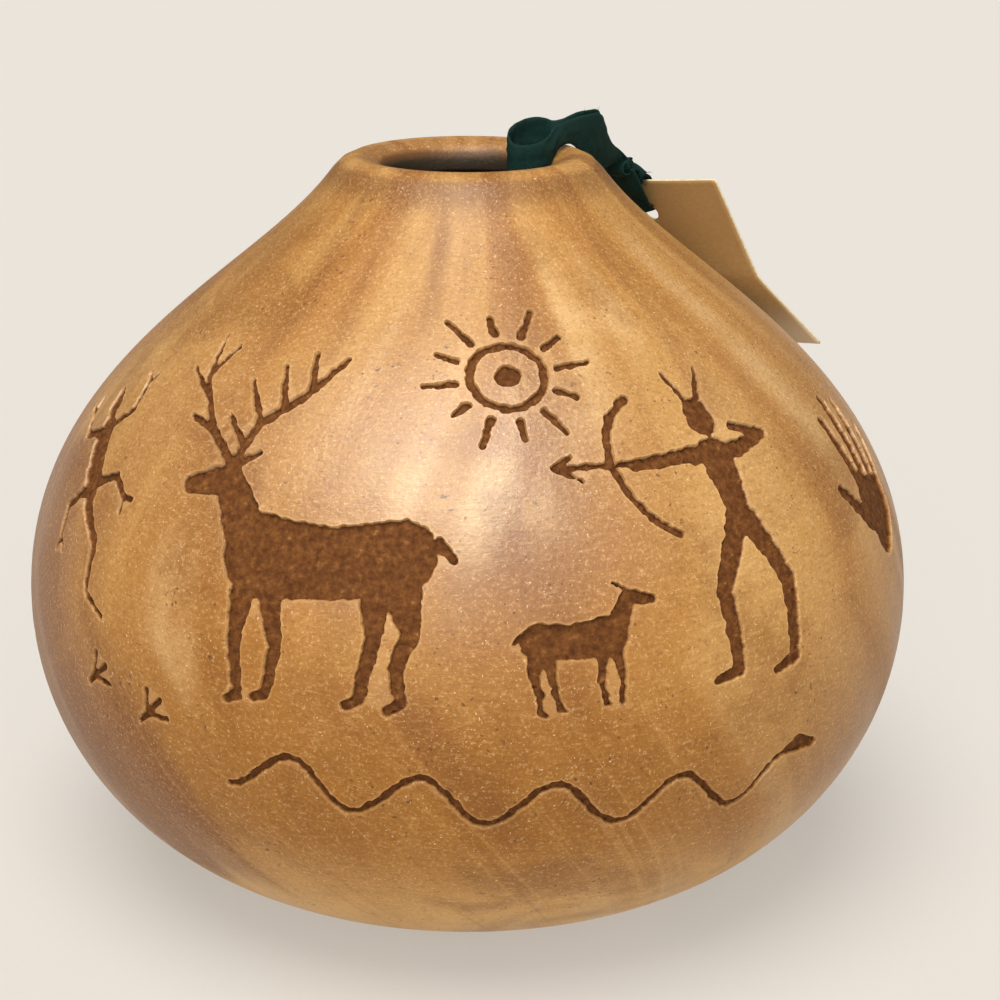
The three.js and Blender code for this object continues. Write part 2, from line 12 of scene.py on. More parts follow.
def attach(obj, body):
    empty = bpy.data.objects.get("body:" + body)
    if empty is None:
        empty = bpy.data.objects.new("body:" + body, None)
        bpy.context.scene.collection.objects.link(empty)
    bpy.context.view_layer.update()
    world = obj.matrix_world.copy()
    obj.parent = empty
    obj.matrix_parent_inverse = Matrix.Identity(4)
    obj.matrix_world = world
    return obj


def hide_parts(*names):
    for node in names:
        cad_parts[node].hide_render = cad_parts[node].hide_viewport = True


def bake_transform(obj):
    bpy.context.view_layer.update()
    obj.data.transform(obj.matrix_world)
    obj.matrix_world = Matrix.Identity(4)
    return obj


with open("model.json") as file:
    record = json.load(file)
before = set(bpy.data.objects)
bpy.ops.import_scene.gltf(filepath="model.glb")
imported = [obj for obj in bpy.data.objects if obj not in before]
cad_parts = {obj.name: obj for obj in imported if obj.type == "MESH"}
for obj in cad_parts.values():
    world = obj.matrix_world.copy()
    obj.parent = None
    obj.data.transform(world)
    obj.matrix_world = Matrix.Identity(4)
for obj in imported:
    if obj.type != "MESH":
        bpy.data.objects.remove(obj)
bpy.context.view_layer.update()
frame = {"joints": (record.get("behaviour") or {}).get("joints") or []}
MM = 0.001

# Vase form, in millimetres, as in the CAD source
HEIGHT = 154
FOOT_RADIUS = 36
BELLY_RADIUS = 95
BELLY_HEIGHT = 61
NECK_RADIUS = 29.2
NECK_DROP = 4.1
NECK_SLOPE = math.radians(52.4)
SHOULDER_FULLNESS = 48
SHOULDER_FLARE = 28
CREST_RADIUS = 24
THROAT_RADIUS = 17.6
LIP_ROLL = 4
THROAT_LENGTH = 2
THROAT_RELIEF = 1.2
WALL = 6.5
FLOOR = 8
DISC_SHARES = (0.75, 0.5, 0.25)  # rings of the level floor and foot
BELLY_STEPS = 300  # steps of the profile
SHOULDER_STEPS = 400
LIP_STEPS = 60
INNER_SHOULDER_STEPS = 24
UNDER_LIP_STEPS = 6
ROLL_STEPS = 14
HOLLOW_STEPS = 16

# Engraving, in millimetres
CUT_DEPTH = 0.9
CUT_SLOPE = 0.35  # how far the cut's side runs in before it reaches the floor
CUT_ROUGHNESS = 0.22  # how far the cut's edge wanders
WANDER_LENGTH = 3.2  # length of the edge's waves
FINE_WANDER_LENGTH = 1.3
FINE_WANDER_SHARE = 0.7
WANDER_SEEDS = (1, 2)
PECK_DEPTH = 0.22  # unevenness of the cut's floor
PECK_LENGTH = 1.7
FINE_PECK_LENGTH = 0.8
FINE_PECK_SHARE = 0.6
PECK_SEEDS = (3, 4)
FAR_FROM_CUT = 6.0  # edge distance that stands for plain wall

# Ribbon, in millimetres, with its main sizes as in the CAD source
RIBBON_WIDTH = 10
RIBBON = 0.6
RIBBON_THICK = 0.32  # of the cloth itself
RIBBON_AZIMUTH = math.radians(31)
SEAT_GAP = 0.3
BIGHT_LENGTH = 10.4
BIGHT_DEPTH = 6.6
BIGHT_INSET = 10.6
BIGHT_SHIFT = -3.4
BIGHT_TILT = 2.4
BIGHT_LEAN = 1.9
BIGHT_OPENING = math.radians(29)
BIGHT_PINCH = 6.2
BIGHT_CUP = 0.5
BIGHT_STEPS = 14
STRAND_GAP = 1
STRAND_SPARE = 0.5  # how much wider the outer strand is
# Edges of both strands from the bight over the lip to the knot, and how far the cloth cups
STRAND_EDGES = [
    ((19.2, 7.6, 159.2), (19.0, 7.4, 154.0), 0.6),
    ((23.4, 11.2, 160.3), (21.3, 10.9, 154.6), 0.6),
    ((26.8, 14.2, 160.5), (23.6, 13.8, 152.5), 0.3),
    ((27.8, 15.0, 160.4), (24.4, 14.6, 151.4), 0.1),
    ((28.7, 16.2, 159.4), (25.2, 16.0, 149.8), 0.3),
    ((29.6, 19.0, 156.7), (25.9, 19.3, 148.0), 0.7),
    ((31.3, 23.5, 152.4), (27.3, 24.3, 145.4), 1.0),
]
PEAK_STATION = 3  # row of the edges at the ribbon's peak
KNOT_RADIUS = 2.4
# Where the strands enter the knot: up from its middle, reach of each edge along the card's width, cup
STRAND_ENDS = [
    (KNOT_RADIUS, -2.475, 3.85, 1.0),
    (0, -1.925, 4.125, 0.8),
]
KNOT_STEPS = 72
# Turns of the knot: tilt in degrees, times round, first and last radius of the edges, width, bulge, seed
KNOT_TURNS = [
    ("ribbon_knot_under", -16, 2.2, 0.3, 1.5, 6.4, 0.3, 31),
    ("ribbon_knot_over", 12, 1.15, 1.2, 1.4, 6.4, 0.9, 32),
]
TIE_CLEAR = 3
TIE_LEAN = 3
# Turn through the tag's hole: height up the tag, out from its outer face, width
TIE_ROUTE = [
    (14.5, -3.2, 8.4),
    (11.2, -0.8, 7.8),
    (8.6, 1.0, 6.2),
    (4.5, 1.0, 5.2),
    (1.4, 0.4, 3.2),
    (0.9, -0.5, 3.0),
    (1.8, -1.4, 3.6),
    (5.5, -2.6, 6.0),
    (9.5, -3.6, 8.2),
    (14.5, -3.4, 8.4),
]
TIE_CUP = 0.4
# The cut end: distance from the knot, lift off the card, width, cup
TAIL_ROUTE = [
    (0, 0, 2.2, 0.8),
    (2.2, 0.9, 2.8, 0.7),
    (4.2, 0.8, 3, 0.5),
    (6.2, 0.2, 3.4, 0.3),
]
TAIL_DROP = math.radians(38)
TAIL_OUT = 0.6
TAIL_TWIST = 0.3
CLOTH_COLUMNS = 11  # points across a strip
STRIP_STEPS = 8  # rows between two stations of a strip
TIE_STEPS = 7
LOOP_SEED = 11
TAIL_SEED = 41
TIE_SEED = 51
WEAVE = 0.34  # one repeat of the weave
CREASING = 0.2  # depth of the cloth's broad creases
CREASING_LENGTH = 5
FINE_CREASING = 0.09
FINE_CREASING_LENGTH = 2

# Loose threads, in millimetres
THREAD = 0.14
THREAD_SHORTEST = 0.5
THREAD_LONGEST = 1.4
THREAD_STATIONS = (-0.4, 0.3, 0.7, 1.0)  # shares of the length, from inside the cloth to the tip
THREAD_CORNERS = (0, 2.1, 4.2)
THREAD_BEND = 0.6
THREAD_CURL = 0.3
THREAD_TAPER = 1.05
ASKEW = (0.3, 0.2, 0.9)  # a direction that no thread follows
PEAK_THREADS = 12
PEAK_RUN = (-4, -3, 0)  # along the worn edge at the ribbon's peak
PEAK_SHARES = (-0.1, 0.8)  # of that run, where threads stand
PEAK_WAY = (0.1, 0, 1.0)
PEAK_SPREAD = 0.3
PEAK_SEED = 61
TAIL_THREADS = 2  # for each point of the cut edge
TAIL_SPREAD = 0.25
TAIL_THREAD_SEED = 62

# Tag, in millimetres, with its main sizes as in the CAD source
CARD = 0.6
CARD_THICK = 0.5
UPPER_LEAF = 27
LOWER_LEAF = 29
TAG_FOLD = math.radians(18.4)
HOLE_RADIUS = 2
FAR_SIDE = 5.5
NEAR_SIDE = -22.5
LEAF_TOP = 9
CREASE = LEAF_TOP - UPPER_LEAF
KNOT_PLACE = (0, LEAF_TOP + TIE_CLEAR + RIBBON / 2 + SEAT_GAP + KNOT_RADIUS, -TIE_LEAN - CARD / 2)
CREASE_BEND = 0.8  # softness of the crease
CARD_BOW = 0.2
CARD_BOW_RATE = 0.11
CARD_TWIST = 0.1
CARD_TWIST_RATE = 0.2
CARD_ROWS = 56
CARD_COLUMNS = 24
HOLE_STEPS = 40
HOLE_MARGIN = 0.5  # kept clear round the hole
HOLE_SHARE = 0.98  # of the hole's radius within which a face is left out

# Streaks and clouds of the clay, among them a painted highlight and a painted shade: degrees to the right
# of the front, half width in degrees, lowest and highest height in millimetres, and tone, dark below zero
STREAKS_AND_PAINTED_LIGHT = [
    (-7, 4.5, 120, 157, -0.6),
    (-17, 6, 90, 150, 0.3),
    (-26, 2.5, 116, 150, -0.5),
    (-41, 4, 112, 157, -0.6),
    # painted highlight: a pale patch where the overhead light's sheen falls on the front
    (-2, 14, 88, 120, 0.6),
    (6, 9, 114, 150, -0.15),
    (20, 6, 100, 150, 0.5),
    (35, 6, 114, 146, 0.45),
    (43, 5, 100, 157, -0.4),
    (61, 7, 90, 150, 0.4),
    (84, 12, 20, 100, -0.5),
    (102, 5, 100, 150, -0.6),
    (125, 8, 84, 150, 0.6),
    (132, 18, 30, 80, -0.5),
    (150, 5, 110, 157, -0.7),
    (175, 9, 80, 150, 0.5),
    (-160, 5, 106, 157, -0.6),
    (-152, 16, 30, 84, 0.4),
    (-138, 7, 90, 150, 0.6),
    (-115, 5, 104, 150, -0.7),
    (-112, 14, 30, 80, -0.4),
    (-98, 6, 90, 150, 0.5),
    # painted shade: the left flank darkened where less light reaches it
    (-70, 15, 10, 108, -1.0),
    (-38, 9, 58, 102, 0.35),
    (-14, 13, 36, 84, -0.45),
    (-52, 5, 12, 64, -0.5),
    (-42, 4, 10, 60, 0.4),
    (-31, 5, 8, 54, -0.1),
    (10, 12, 22, 62, -0.3),
    (28, 5, 8, 60, 0.2),
    (44, 10, 22, 76, -0.3),
]
STREAK_FADE = 16  # length over which a streak's ends fade
STREAK_WANDER = 0.35  # share of its half width that a streak wanders
STREAK_WANDER_RATE = 0.045
SWEEP_START = 74  # height below which the streaks sweep to the right
SWEEP_RATE = 0.0075  # radians for each millimetre below it
GRAIN_WANDER = 0.12
GRAIN_WANDER_RATE = 0.022
GRAIN_RISE = 0.01

# Heights in millimetres between which a tone or the polish of the clay comes in
DEEPER_TONE = (92, 40)
# painted light: the foot is painted paler, as bounce light from the floor
FOOT_PAINTED_BOUNCE = (44, 10)
VEINED = (84, 36)
DARK_NECK = (146, 151)
DARK_NECK_END = (153.4, 152)
POLISHED = (74, 104)
DULL_NECK = (134, 112)

# Mesh of the outer skin
SEAM = math.radians(-135)  # where the unrolled skin is joined, clear of every figure
FIELD_CELL = 0.5  # grid on which the engraving is drawn
SKIN_COLUMNS = 180
SKIN_ROW = 2.6
CLEAR_OF_CUT = 0.9  # plain points keep this far from a cut's edge
CLEAR_OF_FLOOR_EDGE = 0.35  # pecked points keep this far from the floor's edge
CLEAR_OF_GRID = 0.2  # share of a cell that an outline's point keeps from the grid's points
FIGURE_MARGIN = 10
SHARP_ANGLE = math.radians(34)
TOUCHING = 1e-5  # points nearer than this are one

# Studio
STUDIO_REACH = 8000  # of the floor to each side, in millimetres
# Each light: where it comes from, its width in degrees, strength and colour
LIGHTS = [
    ("overhead_window", (-0.11, -0.28, 0.95), 42, 3.3, (1.0, 0.95, 0.88)),
    ("front_window", (0.0, -0.86, 0.5), 70, 1.5, (1.0, 0.97, 0.94)),
    ("front_fill", (-0.05, -0.97, 0.2), 50, 0.8, (1.0, 0.98, 0.95)),
]
AIR_AT_HORIZON = (0.05, 0.049, 0.048, 1)
AIR_ABOVE = (0.42, 0.412, 0.4, 1)
CAMERA_PLACE = (0, -0.45, 0.2263)  # in metres
CAMERA_DOWN = math.radians(18.25)
CAMERA_LENS = 77.7
CAMERA_SHIFT = 0.0325
CAMERA_NEAREST = 0.01


def srgb(red, green, blue):
    """A colour from its 0 to 255 screen values, as linear light."""
    levels = [value / 255 for value in (red, green, blue)]
    linear = [v / 12.92 if v <= 0.04045 else ((v + 0.055) / 1.055) ** 2.4 for v in levels]
    return (*linear, 1.0)


def new_mesh(name, points, faces):
    """A mesh from points in millimetres."""
    mesh = bpy.data.meshes.new(name)
    mesh.from_pydata((np.asarray(points) * MM).tolist(), [], faces)
    return mesh


def store(mesh, name, values):
    """Keeps a number or a vector for each point of a mesh, for its material to read."""
    values = np.asarray(values, np.float32)
    kind, field = ("FLOAT", "value") if values.ndim == 1 else ("FLOAT_VECTOR", "vector")
    mesh.attributes.new(name, kind, "POINT").data.foreach_set(field, values.ravel())


# Vase profile, as radius and height


def ellipse_arc(centre, radii, start, end, steps):
    angle = np.linspace(start, end, steps + 1)
    return np.stack([centre[0] + radii[0] * np.cos(angle), centre[1] + radii[1] * np.sin(angle)], 1)


def bezier(points, steps):
    share = np.linspace(0, 1, steps + 1)[:, None]
    degree = len(points) - 1
    return sum(
        math.comb(degree, k) * (1 - share) ** (degree - k) * share**k * np.array(point, float)
        for k, point in enumerate(points)
    )


neck = (NECK_RADIUS, HEIGHT - NECK_DROP)
shoulder_handle = (
    NECK_RADIUS + SHOULDER_FLARE * math.cos(NECK_SLOPE),
    neck[1] - SHOULDER_FLARE * math.sin(NECK_SLOPE),
)
belly = (BELLY_RADIUS, BELLY_HEIGHT)
shoulder_points = [belly, (BELLY_RADIUS, BELLY_HEIGHT + SHOULDER_FULLNESS), shoulder_handle, neck]
lip_corner = (NECK_RADIUS - NECK_DROP / math.tan(NECK_SLOPE), HEIGHT)
belly_radii = (BELLY_RADIUS - FOOT_RADIUS, BELLY_HEIGHT)
outer = np.concatenate([
    ellipse_arc((FOOT_RADIUS, BELLY_HEIGHT), belly_radii, -math.pi / 2, 0, BELLY_STEPS),
    bezier(shoulder_points, SHOULDER_STEPS)[1:],
    bezier([neck, lip_corner, (CREST_RADIUS, HEIGHT)], LIP_STEPS)[1:],
])
outer_steps = np.hypot(*np.diff(outer, axis=0).T)
outer_arc = np.concatenate([[0], np.cumsum(outer_steps)])
outer_length = outer_arc[-1]
outer_along = np.gradient(outer, outer_arc, axis=0)
outer_along /= np.linalg.norm(outer_along, axis=1)[:, None]


def outer_at(arc):
    """Radius, height, and outward normal of the outer skin at a distance up from the foot's edge."""
    along_r = np.interp(arc, outer_arc, outer_along[:, 0])
    along_z = np.interp(arc, outer_arc, outer_along[:, 1])
    radius = np.interp(arc, outer_arc, outer[:, 0])
    height = np.interp(arc, outer_arc, outer[:, 1])
    return radius, height, along_z, -along_r


def inner_profile():
    """From the crest of the lip down the throat and round the hollow to the middle of its floor."""
    shoulder = bezier(shoulder_points, INNER_SHOULDER_STEPS)
    along = np.gradient(shoulder, axis=0)
    along /= np.linalg.norm(along, axis=1)[:, None]
    inside = (shoulder + WALL * np.stack([-along[:, 1], along[:, 0]], 1))[::-1]
    throat_end = (THROAT_RADIUS, HEIGHT - LIP_ROLL - THROAT_LENGTH)
    under_points = [throat_end, (THROAT_RADIUS, throat_end[1] - THROAT_RELIEF), inside[0]]
    under = bezier(under_points, UNDER_LIP_STEPS)
    roll_radii = (CREST_RADIUS - THROAT_RADIUS, LIP_ROLL)
    roll = ellipse_arc((CREST_RADIUS, HEIGHT - LIP_ROLL), roll_radii, math.pi / 2, math.pi, ROLL_STEPS)
    hollow_radii = (BELLY_RADIUS - FOOT_RADIUS - WALL, BELLY_HEIGHT - FLOOR)
    hollow = ellipse_arc((FOOT_RADIUS, BELLY_HEIGHT), hollow_radii, 0, -math.pi / 2, HOLLOW_STEPS)
    return np.concatenate([roll[1:], under, inside[1:], hollow[1:]])


def disc_rings(height):
    """Rings of a level disc within the foot's edge."""
    return np.array([(FOOT_RADIUS * share, height) for share in DISC_SHARES])


# Engraved figures, as strokes of (across, up, half width) in millimetres


def mirrored(strokes):
    return [[(-x, y, w) for x, y, w in stroke] for stroke in strokes]


def ring(radius, half_width, start=0, end=360, steps=28):
    angles = np.radians(np.linspace(start, end, steps + 1))
    return [(radius * math.cos(a), radius * math.sin(a), half_width) for a in angles]


def wave(length, height, period, half_width):
    xs = np.linspace(-length / 2, length / 2, int(length / 2) + 1)
    return [(x, height * math.sin(2 * math.pi * x / period), half_width) for x in xs]


DEER_BODY = [
    [(-16, 2, 9.5), (0, 1.5, 8), (15, 3, 8.5)],
    [(-20, 6, 6), (-27, 18, 4), (-38, 15, 2.2)],
    [(-25, 22, 1.2), (-20, 25, 0.8)],
    [(-19, -4, 3.6), (-21, -16, 1.9), (-20, -28, 1.5), (-23, -29.5, 1.2)],
    [(-13, -5, 3.2), (-11, -17, 1.8), (-13, -27, 1.4), (-16, -28.5, 1.2)],
    [(16, -2, 5), (19, -13, 2.4), (16, -20, 1.8), (17, -28, 1.5), (14, -29.5, 1.2)],
    [(11, -3, 4), (11, -14, 2), (8, -27, 1.5), (5, -28.5, 1.2)],
    [(23, 6, 1.6), (27, 2, 1)],
]
ANTLERS = [
    [(-27, 22, 1.4), (-22, 32, 1.4), (-12, 40, 1.3), (-4, 50, 0.9)],
    [(-25, 26, 1.2), (-31, 33, 0.8)],
    [(-22, 32, 1.2), (-27, 42, 0.8)],
    [(-17, 36.5, 1.2), (-19, 47, 0.8)],
    [(-11, 41, 1.1), (-12, 51, 0.8)],
    [(-28, 22, 1.4), (-36, 30, 1.3), (-42, 41, 1.1), (-41, 52, 0.8)],
    [(-34, 28, 1.2), (-43, 31, 0.8)],
    [(-39, 36, 1.1), (-48, 42, 0.8)],
    [(-41.5, 42, 1.1), (-35, 50, 0.8)],
]
ARCHER = [
    [(0, 27.5, 3.8), (0, 29.5, 3.4)],
    [(1, 31, 1), (5, 39, 0.8)],
    [(-1, 31, 1), (-4, 39, 0.8)],
    [(-6, 20, 2.2), (6, 20, 2.2)],
    [(0, 19, 4.6), (0.5, 6, 3)],
    [(-6, 20, 1.9), (-20, 19, 1.4)],
    [(6, 20, 1.9), (15, 22, 1.5), (7, 25, 1.2)],
    [(-0.5, 6, 3), (-8, -8, 2.2), (-6, -24, 1.6), (-11, -25.5, 1.2)],
    [(1.5, 6, 3), (9, -8, 2.2), (9, -24, 1.6), (4, -25.5, 1.2)],
    [(x - 7, y + 19, w) for x, y, w in ring(17, 1, 118, 242, 14)],
    [(-36, 18.6, 0.8), (6, 21, 0.8)],
    [(-36, 18.6, 0.9), (-31.5, 21.4, 0.7)],
    [(-36, 18.6, 0.9), (-31.5, 16.2, 0.7)],
]
LIZARD_LIMBS = [
    [(-2, 10, 1.7), (-10, 12, 1.3), (-12, 19, 1)],
    [(-12, 19, 0.9), (-15, 21.5, 0.8)],
    [(-12, 19, 0.9), (-11, 23, 0.8)],
    [(-2, -6, 1.7), (-10, -7, 1.3), (-13, -14, 1)],
    [(-13, -14, 0.9), (-16, -16, 0.8)],
    [(-13, -14, 0.9), (-12, -18, 0.8)],
]
LIZARD = [
    [(0, 14, 2.2), (0, 8, 3.8), (0, -4, 3.6), (0, -12, 2), (3, -22, 1.5), (-2, -32, 1.1), (2, -40, 0.8)],
    [(0, 17, 3), (0, 21, 1.8)],
    *LIZARD_LIMBS,
    *mirrored(LIZARD_LIMBS),
]
SUN = [
    ring(7.5, 1),
    [(0, 0, 2.6), (0.4, 0.3, 2.6)],
    *[
        [(10.5 * math.cos(a), 10.5 * math.sin(a), 1), (reach * math.cos(a), reach * math.sin(a), 0.75)]
        for a, reach in zip(np.radians(np.arange(0, 360, 30)), [17, 14.5] * 6)
    ],
]
HAND = [
    [(-4, 0, 6), (4, 0, 6), (0, -6, 6), (-4, 0, 6)],
    [(-7, 5, 2.4), (-10.5, 19, 1.8)],
    [(-2.6, 7, 2.4), (-3.6, 24, 1.9)],
    [(2.6, 7, 2.4), (3.6, 23, 1.9)],
    [(7, 4, 2.2), (10.5, 17, 1.7)],
    [(-8, -4, 2.4), (-17, 3, 1.9)],
]
TRACK = [
    [(0, -3, 0.9), (0, 6, 0.8)],
    [(0, 0, 0.9), (-4, 4.5, 0.8)],
    [(0, 0, 0.9), (4, 4.5, 0.8)],
]
DANCER_LIMBS = [
    [(4, 18, 1.7), (10, 12, 1.3), (13, 18, 1.2)],
    [(1, 5, 2), (5, -6, 1.6), (4, -18, 1.3), (8, -18.5, 1.1)],
]
DANCER = [
    [(0, 24.5, 2.8), (0, 26, 2.6)],
    [(0, 16, 4.8), (0, 5, 2.4)],
    *DANCER_LIMBS,
    *mirrored(DANCER_LIMBS),
]
CRANE = [
    [(-4, 0, 5), (6, 1, 4), (13, 4, 1.4)],
    [(-7, 3, 2.4), (-12, 12, 1.5), (-8, 20, 1.5), (-11, 21.5, 1.5), (-20, 19, 0.8)],
    [(1, -4, 1.4), (2, -14, 1), (1, -26, 1), (-4, -27, 0.8)],
    [(5, -3, 1.4), (8, -14, 1), (7, -26, 1), (2, -27, 0.8)],
]
TURTLE_LIMB = [
    [(-8, 7, 2.4), (-14, 12, 1.5)],
    [(-8, -7, 2.4), (-14, -12, 1.5)],
]
TURTLE = [
    ring(11, 1.3),
    [(-9, 0, 0.9), (9, 0, 0.9)],
    [(0, -9, 0.9), (0, 9, 0.9)],
    [(0, 12, 2.6), (0, 17, 2.4)],
    [(0, -12, 1.2), (0, -17, 0.8)],
    *TURTLE_LIMB,
    *mirrored(TURTLE_LIMB),
]
SNAKE = [wave(112, 4.6, 25, 0.85), [(56, 4.6, 0.9), (60, 5.6, 2.3), (65, 4.6, 1)]]

# Where each figure sits: strokes, degrees to the right of the front, height, size, tilt in degrees
FIGURES = [
    (DEER_BODY + ANTLERS, -17, 92, 0.86, 3),
    (ARCHER, 37, 92, 0.95, -4),
    (SUN, 7, 122, 0.95, 8),
    (LIZARD, -63, 98, 0.86, 38),
    (SNAKE, 6, 50, 1, -4),
    (mirrored(DEER_BODY), 12, 80, 0.42, 2),
    (HAND, 70, 88, 0.95, -14),
    *[(TRACK, -50 + 10 * k, 62 - 3 * k, 0.9, -50 + 6 * k) for k in range(2)],
    *[(DANCER, 124 + 17 * k, 96, 0.95, 3 * (-1) ** k) for k in range(4)],
    (SNAKE, 150, 52, 0.9, 3),
    (mirrored(CRANE), -116, 96, 1.05, 0),
    (TURTLE, 98, 76, 0.95, -25),
    (SUN, -152, 112, 0.85, 0),
    (DEER_BODY + ANTLERS, -152, 74, 0.6, -3),
    *[(TRACK, -92 + 8 * k, 52 + 2 * k, 0.9, -70) for k in range(3)],
]


def ripples(x, y, wavelength, seed):
    """Smooth random unevenness between about -1 and 1, from waves that cross in all directions."""
    rng = np.random.default_rng(seed)
    total = np.zeros_like(x)
    count = 22
    for _ in range(count):
        way = rng.uniform(0, 2 * math.pi)
        pitch = 2 * math.pi / (wavelength * rng.uniform(0.7, 1.6))
        total += np.cos(pitch * (x * math.cos(way) + y * math.sin(way)) + rng.uniform(0, 2 * math.pi))
    return total * math.sqrt(2 / count) / 2


def stroke_distance(x, y, stroke):
    """Distance from the edge of a tapered stroke, below zero inside it."""
    best = np.full_like(x, np.inf)
    for (ax, ay, aw), (bx, by, bw) in zip(stroke[:-1], stroke[1:]):
        run = (bx - ax) ** 2 + (by - ay) ** 2
        share = np.clip(((x - ax) * (bx - ax) + (y - ay) * (by - ay)) / run, 0, 1)
        gap = np.hypot(x - ax - share * (bx - ax), y - ay - share * (by - ay))
        best = np.minimum(best, gap - aw - share * (bw - aw))
    return best


def engraving_field():
    """Turns and arcs of a grid on the unrolled skin, and its distance from the engraving's edge."""
    turns = np.linspace(SEAM, SEAM + 2 * math.pi, int(2 * math.pi * BELLY_RADIUS / FIELD_CELL) + 1)
    arcs = np.linspace(0, outer_length, int(outer_length / FIELD_CELL) + 1)
    radius = outer_at(arcs)[0]
    field = np.full((len(arcs), len(turns)), FAR_FROM_CUT)
    for strokes, azimuth, height, size, tilt in FIGURES:
        centre = SEAM + (math.radians(azimuth) - SEAM) % (2 * math.pi)
        middle = np.interp(height, outer[:, 1], outer_arc)
        farthest = max(math.hypot(x, y) for stroke in strokes for x, y, _ in stroke)
        reach = size * (farthest + FIGURE_MARGIN)
        rows = np.flatnonzero(np.abs(arcs - middle) < reach)
        narrow = radius[rows].min()
        columns = np.flatnonzero(np.abs(turns - centre) < reach / narrow)
        window = np.ix_(rows, columns)
        across = (turns[columns] - centre)[None, :] * radius[rows][:, None]
        up = np.repeat((arcs[rows] - middle)[:, None], len(columns), 1)
        c = math.cos(math.radians(tilt)) / size
        s = math.sin(math.radians(tilt)) / size
        x = c * across + s * up
        y = c * up - s * across
        for stroke in strokes:
            field[window] = np.minimum(field[window], size * stroke_distance(x, y, stroke))
    x = turns[None, :] * radius[:, None]
    y = np.repeat(arcs[:, None], len(turns), 1)
    wander = ripples(x, y, WANDER_LENGTH, WANDER_SEEDS[0])
    wander += FINE_WANDER_SHARE * ripples(x, y, FINE_WANDER_LENGTH, WANDER_SEEDS[1])
    field += CUT_ROUGHNESS * wander
    return turns, arcs, field


def contour(field, level):
    """Points, as (column, row) on the grid, and segments where a field crosses a level."""
    inside = field < level
    points = []
    index = {}

    def crossing(a, b):
        if (a, b) not in index:
            share = (level - field[a]) / (field[b] - field[a])
            share = min(max(share, CLEAR_OF_GRID), 1 - CLEAR_OF_GRID)
            index[a, b] = len(points)
            points.append((a[1] + share * (b[1] - a[1]), a[0] + share * (b[0] - a[0])))
        return index[a, b]

    corners = inside[:-1, :-1].astype(int) + inside[1:, :-1] + inside[:-1, 1:] + inside[1:, 1:]
    segments = []
    for row, column in np.argwhere((corners > 0) & (corners < 4)):
        loop = [(row, column), (row, column + 1), (row + 1, column + 1), (row + 1, column)]
        hits = []
        for a, b in zip(loop, loop[1:] + loop[:1]):
            if inside[a] != inside[b]:
                hits.append(crossing(*sorted((a, b))))
        segments += list(zip(hits[::2], hits[1::2]))
    return np.array(points), segments


def sampled(field, columns, rows):
    """The field's values between its grid points."""
    c0 = np.clip(np.floor(columns).astype(int), 0, field.shape[1] - 2)
    r0 = np.clip(np.floor(rows).astype(int), 0, field.shape[0] - 2)
    c = columns - c0
    r = rows - r0
    low = field[r0, c0] * (1 - c) + field[r0, c0 + 1] * c
    high = field[r0 + 1, c0] * (1 - c) + field[r0 + 1, c0 + 1] * c
    return low * (1 - r) + high * r


def skin_mesh():
    """The engraved outer skin with its two side edges joined.

    Gives each point's turn, arc and distance from a cut, the faces, and the foot's and crest's rings.
    """
    turns, arcs, field = engraving_field()
    to_column = (len(turns) - 1) / (2 * math.pi)
    to_row = (len(arcs) - 1) / outer_length

    row_count = round(outer_length / SKIN_ROW)
    plain = [(c, r) for r in range(row_count + 1) for c in range(SKIN_COLUMNS + 1)]
    plain_grid = np.array([
        (c * (len(turns) - 1) / SKIN_COLUMNS, r * (len(arcs) - 1) / row_count) for c, r in plain
    ])
    gap = sampled(field, plain_grid[:, 0], plain_grid[:, 1])
    border = np.array([c in (0, SKIN_COLUMNS) or r in (0, row_count) for c, r in plain])
    kept = np.flatnonzero(border | (gap > CLEAR_OF_CUT))

    edge, edge_segments = contour(field, 0)
    floor, floor_segments = contour(field, -CUT_SLOPE)
    rows, columns = np.nonzero(field < -CUT_SLOPE - CLEAR_OF_FLOOR_EDGE)
    lattice = (rows % 2 == 0) & ((columns + rows) % 4 // 2 == 0) & (columns % 2 == 0)
    pecks = np.stack([columns[lattice], rows[lattice]], 1).astype(float)

    grid = np.concatenate([plain_grid[kept], edge, floor, pecks])
    distance = np.concatenate([
        gap[kept],
        np.zeros(len(edge)),
        np.full(len(floor), -CUT_SLOPE),
        sampled(field, pecks[:, 0], pecks[:, 1]),
    ])
    start = len(kept)
    lines = [(a + start, b + start) for a, b in edge_segments]
    start += len(edge)
    lines += [(a + start, b + start) for a, b in floor_segments]

    flat = [Vector((c / to_column * BELLY_RADIUS, r / to_row)) for c, r in grid]
    places, _, faces, sources, _, _ = delaunay_2d_cdt(flat, lines, [], 0, TOUCHING)
    source = np.array([ids[0] if ids else -1 for ids in sources])
    found = {s: i for i, s in enumerate(source)}
    at = {plain[k]: found[i] for i, k in enumerate(kept) if i in found}
    merge = np.arange(len(places))
    for r in range(row_count + 1):
        merge[at[SKIN_COLUMNS, r]] = at[0, r]
    used = np.unique(merge)
    renumber = np.zeros(len(places), int)
    renumber[used] = np.arange(len(used))
    faces = [tuple(int(renumber[merge[i]]) for i in face) for face in faces]

    flat_places = np.array([tuple(p) for p in places])[used]
    turn = flat_places[:, 0] / BELLY_RADIUS + SEAM
    arc = flat_places[:, 1]
    missing = sampled(field, (turn - SEAM) * to_column, arc * to_row)
    distance = np.where(source[used] >= 0, distance[source[used]], missing)
    foot = [int(renumber[at[c, 0]]) for c in range(SKIN_COLUMNS)]
    crest = [int(renumber[at[c, row_count]]) for c in range(SKIN_COLUMNS)]
    return turn, arc, distance, faces, foot, crest


